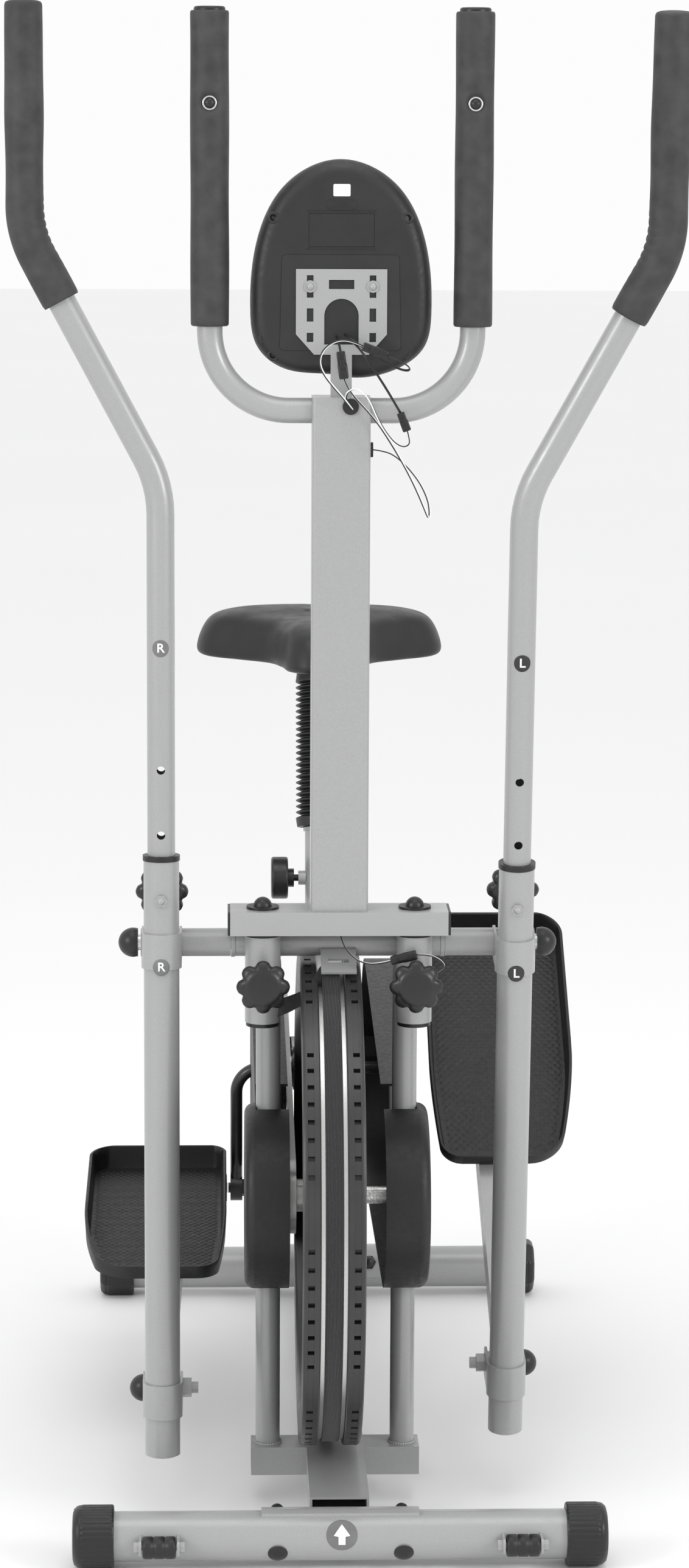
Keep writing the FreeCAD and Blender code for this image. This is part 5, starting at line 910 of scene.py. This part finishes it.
def arrow_mark():
    """A round grey label on the front tube with a plain arrow that points up."""
    radius = 0.025
    tilt = math.radians(20)
    front = np.array([0, -math.cos(tilt), math.sin(tilt)])
    centre = np.array([0.001, FRONT_AXIS_Y, 0.032])
    axis = np.cross(front, [1.0, 0, 0])
    axis = axis if axis[2] > 0 else -axis
    disc_r = 0.0155
    spokes = np.linspace(0, TAU, 65)
    rings = np.array([0, 0.25, 0.5, 0.75, 0.95, 1.0, 1.0])
    lift = np.array([0.0006] * 5 + [0.0005, 0.00005])

    def wrap(x, s, raised):
        """Sideways is along the tube, and upwards becomes an angle round it."""
        angle = s / radius
        around = np.cos(angle)[..., None] * front + np.sin(angle)[..., None] * axis
        return centre + (radius + raised)[..., None] * around + x[..., None] * np.array([1.0, 0, 0])

    grid = wrap(disc_r * rings[:, None] * np.cos(spokes), disc_r * rings[:, None] * np.sin(spokes),
                np.repeat(lift[:, None], len(spokes), 1))
    finish_mesh("arrow_disc", grid_mesh("arrow_disc", [grid]), "frame", MARK_GREY)
    rows = np.linspace(-0.0095, 0.0105, 24)
    half = np.where(rows < -0.001, 0.0035, 0.0085 * (0.0105 - rows) / 0.0115)
    across = np.linspace(-1, 1, 5)
    x = half[:, None] * across[None, :]
    s = rows[:, None] + np.zeros(5)
    body = wrap(x, s, np.full(x.shape, 0.0010))
    skirt_low = wrap(x, s, np.full(x.shape, 0.0004))
    mesh = grid_mesh("arrow_shape", [body, skirt_low[:, ::-1]])
    return finish_mesh("arrow_shape", mesh, "frame", MARK_WHITE, smooth=False)


# ---- leads -----------------------------------------------------------------------------------------
def route(points):
    """A lead's points, given as millimetres across, behind the front tube and up, in metres."""
    return (np.array(points, float) - (0, ORIGIN_Y, 0)) * MM


GROMMET_LEAD = [(10.5, 116.5, 1151.5), (7.5, 108.5, 1155.5), (0.5, 102.5, 1164.5), (-8.5, 101, 1174.5),
                (-17, 102, 1185), (-22.5, 103, 1196), (-21, 104, 1207), (-13, 104, 1216), (-2, 104, 1220.5),
                (10, 104, 1219), (20, 103, 1214.5)]
CONSOLE_LEAD = [(44, 101, 1205), (52, 98, 1202.5), (60, 98, 1198.5), (66, 102, 1194), (66.5, 109.5, 1190.5),
                (61, 116, 1190), (52.5, 118, 1193), (43.5, 119, 1198), (33.5, 119.5, 1204), (22, 121, 1211.5),
                (11, 124.5, 1218.5), (4.5, 132, 1223), (2.5, 143, 1224.5), (2, 154, 1224), (2.5, 162.5, 1224.5)]
PULSE_LEAD = [(8.5, 162.5, 1218.5), (8, 153, 1217.5), (8.5, 142, 1218), (11, 131, 1217), (16, 121, 1212.5),
              (23, 113, 1203.5), (31, 109, 1191.5), (40, 108, 1178), (49, 108.5, 1163.5), (57.5, 108, 1149)]
PULSE_TAIL = [(64.5, 107.5, 1131), (66.5, 105, 1123.5), (66.5, 98, 1118), (60.5, 93, 1115.5), (52.5, 92.5, 1119),
              (45.5, 94, 1126.5), (38.5, 96.5, 1137), (32.5, 98.5, 1149), (28, 100, 1159.5), (22, 99.5, 1168.5),
              (14.5, 100, 1173.5), (6.5, 102.5, 1171), (3, 109.5, 1164.5), (4.5, 116.5, 1159.5)]
SENSOR_TOP = [(-5.5, 162.5, 1222.5), (-5, 153, 1221.5), (-5, 142, 1222), (-4.5, 131, 1221), (-3, 121, 1216.5),
              (-1.5, 113, 1208.5)]
LOOP_LEAD = [(2, 109, 1182), (5.5, 110.5, 1173.5), (13, 112, 1163.5), (24, 111.5, 1152), (36, 110, 1138),
             (48, 107.5, 1120), (59.5, 104.5, 1101), (69, 102.5, 1083.5), (76.5, 102.5, 1067.5),
             (82, 105, 1054.5), (85.5, 111, 1046), (87.5, 119.5, 1044), (88.5, 127.5, 1050), (86.5, 132, 1062),
             (79, 133.5, 1077.5), (68, 135, 1091.5), (57, 136.5, 1102), (45.5, 138, 1108.5), (32, 139, 1110)]
SENSOR_LEAD = [(1, 136, 622), (3, 133, 612.5), (9, 128, 603), (18, 122, 595.5), (29, 117, 592.5),
               (41, 113, 594), (52, 111, 597)]
SENSOR_TAIL = [(78, 110, 603.5), (88, 110.5, 603.5), (97, 112.5, 600.5), (104, 117, 595), (107, 124.5, 589),
               (106.5, 134, 583), (103, 144, 577.5), (97, 154.5, 572), (90, 165, 567), (83.5, 175, 563),
               (78, 184, 560.5)]


def spline_line(name, points):
    """Points along the smooth line of a NURBS spline whose control points are the route's."""
    curve = bpy.data.curves.new(name + "_route", "CURVE")
    curve.dimensions = "3D"
    spline = curve.splines.new("NURBS")
    spline.points.add(len(points) - 1)
    spline.points.foreach_set("co", np.concatenate([points, np.ones((len(points), 1))], 1).ravel())
    spline.order_u = 3
    spline.use_endpoint_u = True
    curve.resolution_u = 12
    holder = bpy.data.objects.new(name + "_route", curve)
    bpy.context.scene.collection.objects.link(holder)
    bpy.context.view_layer.update()
    mesh = bpy.data.meshes.new_from_object(holder.evaluated_get(bpy.context.evaluated_depsgraph_get()))
    line = np.empty(len(mesh.vertices) * 3)
    mesh.vertices.foreach_get("co", line)
    bpy.data.objects.remove(holder)
    bpy.data.meshes.remove(mesh)
    return line.reshape(-1, 3)


def lead(name, node, points, first, second, twist):
    """A flat twin lead: two round strands side by side, carried along the route's spline, with a
    slow twist; each strand has its own colour."""
    path = spline_line(name, route(points))
    keep = np.concatenate([[True], np.linalg.norm(np.diff(path, axis=0), axis=1) > 1e-6])
    path = path[keep]
    strand = LEAD_D / 4
    grids = [swept_grid(path, strand * 1.02, 10, (offset, 0), twist) for offset in (-strand, strand)]
    mesh = grid_mesh(name, grids)
    half = len(grid_faces(*grids[0].shape[:2]))
    mesh.polygons.foreach_set("material_index", [0] * half + [1] * (len(mesh.polygons) - half))
    piece = finish_mesh(name, mesh, "frame", [first, second], replaced=[node])
    return piece


def connector(name, start, end, width):
    """A two-part plug: a socket half and a narrower plug half with a latch, each a rounded oblong whose
    section is a superellipse, carried along the line between the two leads."""
    start, end = route([start, end])
    along = (end - start) / np.linalg.norm(end - start)
    length = np.linalg.norm(end - start)
    front = np.array([0, -1.0, 0]) - along * (-along[1])
    front /= np.linalg.norm(front)
    across = np.cross(along, front)
    angle = np.linspace(0, TAU, 41)
    square = (np.abs(np.cos(angle)) ** 6 + np.abs(np.sin(angle)) ** 6) ** (-1 / 6)
    section = np.stack([square * np.cos(angle), square * np.sin(angle)], -1)
    stations = [(0, 0), (0, 0.80), (0.03, 0.92), (0.08, 0.96), (0.44, 0.96), (0.45, 0.90), (0.46, 1.0),
                (0.50, 1.06), (0.94, 1.06), (0.97, 1.0), (1.0, 0.90), (1.0, 0)]
    rings = []
    for share, size in stations:
        ring = section * size * width / 2 * (1, 0.72)
        rings.append(start + along * share * length + ring[:, :1] * across + ring[:, 1:] * front)
    latch_stations = [(0.30, 0), (0.30, 1), (0.34, 1.1), (0.62, 1.25), (0.66, 0.9), (0.66, 0)]
    latch = []
    for share, size in latch_stations:
        ring = section * size * width / 2 * (0.42, 0.16)
        latch.append(start + along * share * length + ring[:, :1] * across
                     + (ring[:, 1:] + width * 0.40) * front)
    mesh = grid_mesh(name, [np.array(rings), np.array(latch)])
    piece = finish_mesh(name, mesh, "frame", BLACK_PLASTIC, replaced=["lead_plugs"])
    mesh.set_sharp_from_angle(angle=math.radians(40))
    return piece


def leads():
    grommet_plug = connector("grommet_connector", GROMMET_LEAD[-1], CONSOLE_LEAD[0], 9 * MM)
    pulse_plug = connector("pulse_connector", PULSE_LEAD[-1], PULSE_TAIL[0], 8 * MM)
    top_plug = connector("sensor_top_connector", SENSOR_TOP[-1], LOOP_LEAD[0], 9 * MM)
    sensor_plug = connector("sensor_connector", SENSOR_LEAD[-1], SENSOR_TAIL[0], 9 * MM)
    lead("grommet_lead_twin", "grommet_lead", GROMMET_LEAD, LEAD_BLACK, LEAD_WHITE, 2.0)
    lead("console_lead_twin", "console_lead", CONSOLE_LEAD, LEAD_BLACK, LEAD_BLACK, 1.0)
    lead("pulse_lead_twin", "pulse_lead", PULSE_LEAD, LEAD_BLACK, LEAD_BLACK, 0.6)
    lead("pulse_tail_twin", "pulse_tail", PULSE_TAIL, LEAD_BLACK, LEAD_WHITE, 2.6)
    lead("sensor_top_twin", "sensor_top_lead", SENSOR_TOP, LEAD_BLACK, LEAD_BLACK, 0.3)
    lead("loop_lead_twin", "loop_lead", LOOP_LEAD, LEAD_BLACK, LEAD_WHITE, 3.4)
    lead("sensor_lead_twin", "sensor_lead", SENSOR_LEAD, LEAD_BLACK, LEAD_WHITE, 1.2)
    lead("sensor_tail_twin", "sensor_tail", SENSOR_TAIL, LEAD_BLACK, LEAD_WHITE, 2.2)


# ---- console details -------------------------------------------------------------------------------
def raised_plate(name, outline, y_back, y_front, material, edge=0.0012):
    """A thin moulded panel: its outline in the console's plane at three depths, the front one drawn in
    by the edge's rounding."""
    outline = np.asarray(outline, float)
    centre = outline.mean(0)
    closed = np.concatenate([outline, outline[:1]])

    def ring(y, inset):
        away = closed - centre
        size = np.linalg.norm(away, axis=1)[:, None]
        flat = centre + away * (1 - inset / size)
        return np.stack([flat[:, 0], np.full(len(flat), y), flat[:, 1]], -1)

    middle = np.repeat(np.array([[centre[0], y_front, centre[1]]]), len(closed), 0)
    back = np.repeat(np.array([[centre[0], y_back, centre[1]]]), len(closed), 0)
    step = (y_back - y_front) * 0.3
    grid = np.array([back, ring(y_back, 0), ring(y_front + step, 0), ring(y_front + step * 0.3, edge * 0.3),
                     ring(y_front, edge), middle])
    mesh = grid_mesh(name, [grid])
    piece = finish_mesh(name, mesh, "frame", material)
    mesh.set_sharp_from_angle(angle=math.radians(30))
    return piece


def rounded_box_outline(x0, x1, z0, z1, corner, taper=0.0):
    """A rectangle with round corners, narrower at its top by taper each side."""
    quarter = np.linspace(0, math.pi / 2, 7)
    points = []
    for cx, cz, start in ((x1 - corner, z0 + corner, -math.pi / 2), (x1 - corner - taper, z1 - corner, 0),
                          (x0 + corner + taper, z1 - corner, math.pi / 2), (x0 + corner, z0 + corner, math.pi)):
        points += [(cx + corner * math.cos(start + a), cz + corner * math.sin(start + a)) for a in quarter]
    return points


def console_details():
    """The mouldings on the console's back: a raised field for the bracket, the screw wells, the frame
    and latch recess of the battery lid, and the small plain label. The lid's frame lines, the latch
    recess and the wells' holes are in a darker plastic that paints the shade in these grooves and hollows."""
    back = node_box("console_back")[0][1]
    raised_plate("bracket_field", rounded_box_outline(-0.061, 0.059, 1.208, 1.302, 0.004, 0.002),
                 back + 0.001, back - 0.0012, CONSOLE_BLACK)
    raised_plate("silver_label", rounded_box_outline(-0.0085, 0.0085, 1.359, 1.371, 0.0012),
                 back + 0.003, back - 0.0003, MARK_WHITE, 0.0003)
    door_low, door_high = node_box("battery_door")
    # painted shade: the lid's frame lines are thin strips of the darker plastic, standing in for the shade in
    # the groove round the lid
    for name, z in (("lid_frame_top", door_high[2] + 0.0018), ("lid_frame_foot", door_low[2] - 0.0030)):
        raised_plate(name, rounded_box_outline(door_low[0] - 0.002, door_high[0] + 0.002, z, z + 0.0014, 0.0006),
                     back + 0.001, back - 0.0006, RECESS_PAINTED_SHADE, 0.0002)
    # painted shade: the latch recess is a dark plate standing in for the shade in the hollow
    latch = rounded_box_outline(-0.0155, 0.0155, door_high[2] + 0.0035, door_high[2] + 0.0145, 0.0054)
    raised_plate("latch_recess_shade", latch,
                 back + 0.001, back - 0.0005, RECESS_PAINTED_SHADE, 0.0004)
    wells = [(-0.0675, 1.338), (0.0650, 1.338), (-0.0760, 1.220), (0.0735, 1.222), (-0.0675, 1.203),
             (0.064, 1.206)]
    profile_rim = [(0.0034, 0.0014), (0.0054, 0.0012), (0.0058, 0.0004), (0.0058, -0.004), (0.0030, -0.004),
                   (0.0030, 0.0002), (0.0034, 0.0014)]
    # painted shade: each well's hole is filled by a dark plug standing in for the shade inside it
    profile_hole = [(0, -0.0002), (0.0033, -0.0002), (0.0033, -0.004), (0, -0.004)]
    for k, (x, z) in enumerate(wells):
        at = np.array([x, back + (0.0012 if k < 2 else 0.0035), z])
        for label, profile, finish in (("well_rim", profile_rim, CONSOLE_BLACK),
                                       ("well_hole_shade", profile_hole, RECESS_PAINTED_SHADE)):
            name = "%s_%d" % (label, k + 1)
            mesh = grid_mesh(name, [turned_grid(profile, at, (0, -1, 0), 32)])
            finish_mesh(name, mesh, "frame", finish)


# ---- small fittings ----------------------------------------------------------------------------------
def weld_bead(name, centre, axis, radius, body="frame", size=0.0022):
    """A weld round a tube: a small ring whose thickness ripples as the puddles overlapped."""
    along, side, other = frame_of(axis)
    angle = np.linspace(0, TAU, 145)
    ripple = 1 + 0.16 * np.sin(angle * 34)
    round_angle = np.linspace(0, TAU, 13)
    ring_r = radius + size * ripple[:, None] * (0.25 + 0.62 * np.cos(round_angle)[None, :])
    height = size * 0.75 * ripple[:, None] * np.sin(round_angle)[None, :]
    outward = np.cos(angle)[:, None, None] * side + np.sin(angle)[:, None, None] * other
    grid = np.asarray(centre) + ring_r[..., None] * outward + height[..., None] * along
    return finish_mesh(name, grid_mesh(name, [grid]), body, GREY)


def welds():
    for name, side in SIDES:
        weld_bead(name + "_fork_weld", (side * 0.0705, WHEEL[1], 0.0625), (0, 0, 1), 0.0127)


def roller_grooves():
    """Soft tyres of the two transport rollers: a crowned section with two shallow grooves."""
    for name, _ in SIDES:
        low, high = node_box(name + "_roller")
        centre = (low + high) / 2
        half = (high[0] - low[0]) / 2
        r = (high[2] - low[2]) / 2
        side = [(r, half * 0.28), (r - 0.0007, half * 0.32), (r - 0.0007, half * 0.38), (r, half * 0.42),
                (r, half - 0.0024), (r - 0.0004, half - 0.001), (r - 0.0016, half), (0.0032, half)]
        other_side = [(radius, -x) for radius, x in reversed(side)]
        profile = other_side + side + other_side[:1]
        mesh = grid_mesh(name + "_roller_tyre", [turned_grid(profile, centre, (1, 0, 0), 64)])
        finish_mesh(name + "_roller_tyre", mesh, name + "_front_wheel", RUBBER,
                    replaced=[name + "_roller"])


# ---- stage -----------------------------------------------------------------------------------------
def stage():
    """A pale floor and broad soft lamps; the long lens at the height of the handles is made by camera()."""
    floor_mesh = bpy.data.meshes.new("floor")
    reach = 30.0
    corners = [(-reach, -reach, 0), (reach, -reach, 0), (reach, reach, 0), (-reach, reach, 0)]
    floor_mesh.from_pydata(corners, [], [(0, 1, 2, 3)])
    floor = bpy.data.objects.new("floor", floor_mesh)
    bpy.context.scene.collection.objects.link(floor)
    pale = Finish("pale_floor", (0.90, 0.90, 0.90), 0.6)
    pale.tone(pale.noise(0.7, 2), 0.995, 1.005)
    floor_mesh.materials.append(pale.material)
    world = bpy.data.worlds.new("studio")
    bpy.context.scene.world = world
    world.use_nodes = True
    world.node_tree.nodes["Background"].inputs["Color"].default_value = (1, 1, 1, 1)
    world.node_tree.nodes["Background"].inputs["Strength"].default_value = 0.98
    for name, place, size, power in (("left_box", (-2.6, -2.4, 1.9), 1.0, 30),
                                     ("right_box", (2.6, -2.4, 1.9), 1.0, 30),
                                     ("top_box", (0, -0.8, 3.4), 2.0, 18)):
        lamp = bpy.data.lights.new(name, "AREA")
        lamp.size = size
        lamp.energy = power
        holder = bpy.data.objects.new(name, lamp)
        bpy.context.scene.collection.objects.link(holder)
        holder.location = place
        holder.rotation_euler = (Vector((0, 0, 0.8)) - Vector(place)).to_track_quat("-Z", "Y").to_euler()
    bpy.context.scene.view_settings.view_transform = "Standard"


CAMERA_PLACE = (-0.121, -3.796 - ORIGIN_Y * MM, LENS_HEIGHT)
CAMERA_PITCH = math.radians(9.5)
CAMERA_YAW = math.radians(1.837)
CAMERA_ROLL = math.radians(0.27)
CAMERA_LENS = 206.97


def camera():
    """A long lens: its axes come from the yaw towards +X, the pitch down, and a slight roll."""
    level = math.cos(CAMERA_PITCH)
    forward = Vector((math.sin(CAMERA_YAW) * level, math.cos(CAMERA_YAW) * level, -math.sin(CAMERA_PITCH)))
    right = Vector((math.cos(CAMERA_YAW), -math.sin(CAMERA_YAW), 0))
    up = right.cross(forward)
    image_right = right * math.cos(CAMERA_ROLL) + up * math.sin(CAMERA_ROLL)
    image_up = up * math.cos(CAMERA_ROLL) - right * math.sin(CAMERA_ROLL)
    lens = bpy.data.cameras.new("long_lens")
    lens.sensor_fit = "HORIZONTAL"
    lens.sensor_width = 36
    lens.lens = CAMERA_LENS
    lens.clip_end = 100
    holder = bpy.data.objects.new("long_lens", lens)
    bpy.context.scene.collection.objects.link(holder)
    turn = Matrix((image_right, image_up, -forward)).transposed().to_4x4()
    holder.matrix_world = Matrix.Translation(CAMERA_PLACE) @ turn
    bpy.context.scene.camera = holder


# ---- build -----------------------------------------------------------------------------------------
camera()
stage()
dress_cad_nodes()
flywheel()
brake_belt()
for name, side in SIDES:
    star_knob(name + "_post_knob", name + "_post_clamp", name + "_post_knob_turn", -1)
    star_knob(name + "_arm_knob", name + "_arm_clamp", name + "_arm_knob_turn", 1)
    pedal(side)
    arm_grip(side)
    fixed_grip(side)
    grip_screw(side)
    up = joint_axis(name + "_handle_height")
    front = np.array([0, -up[2], up[1]])
    tube_line = joint_at(name + "_arm_swing") + front * ARM_OFFSET
    mark_on_tube(name + "_handle_mark", name[0].upper(), name + "_handle", tube_line + up * 0.306, up, front,
                 0.0140, 0.0085, MARK_GREY if side < 0 else MARK_BLACK)
    mark_on_tube(name + "_arm_mark", name[0].upper(), name + "_arm", tube_line - up * 0.0165, up, front,
                 0.0205, 0.0085, MARK_GREY if side < 0 else MARK_BLACK)
stabiliser_caps()
seat()
seat_boot()
arrow_mark()
leads()
console_details()
welds()
roller_grooves()
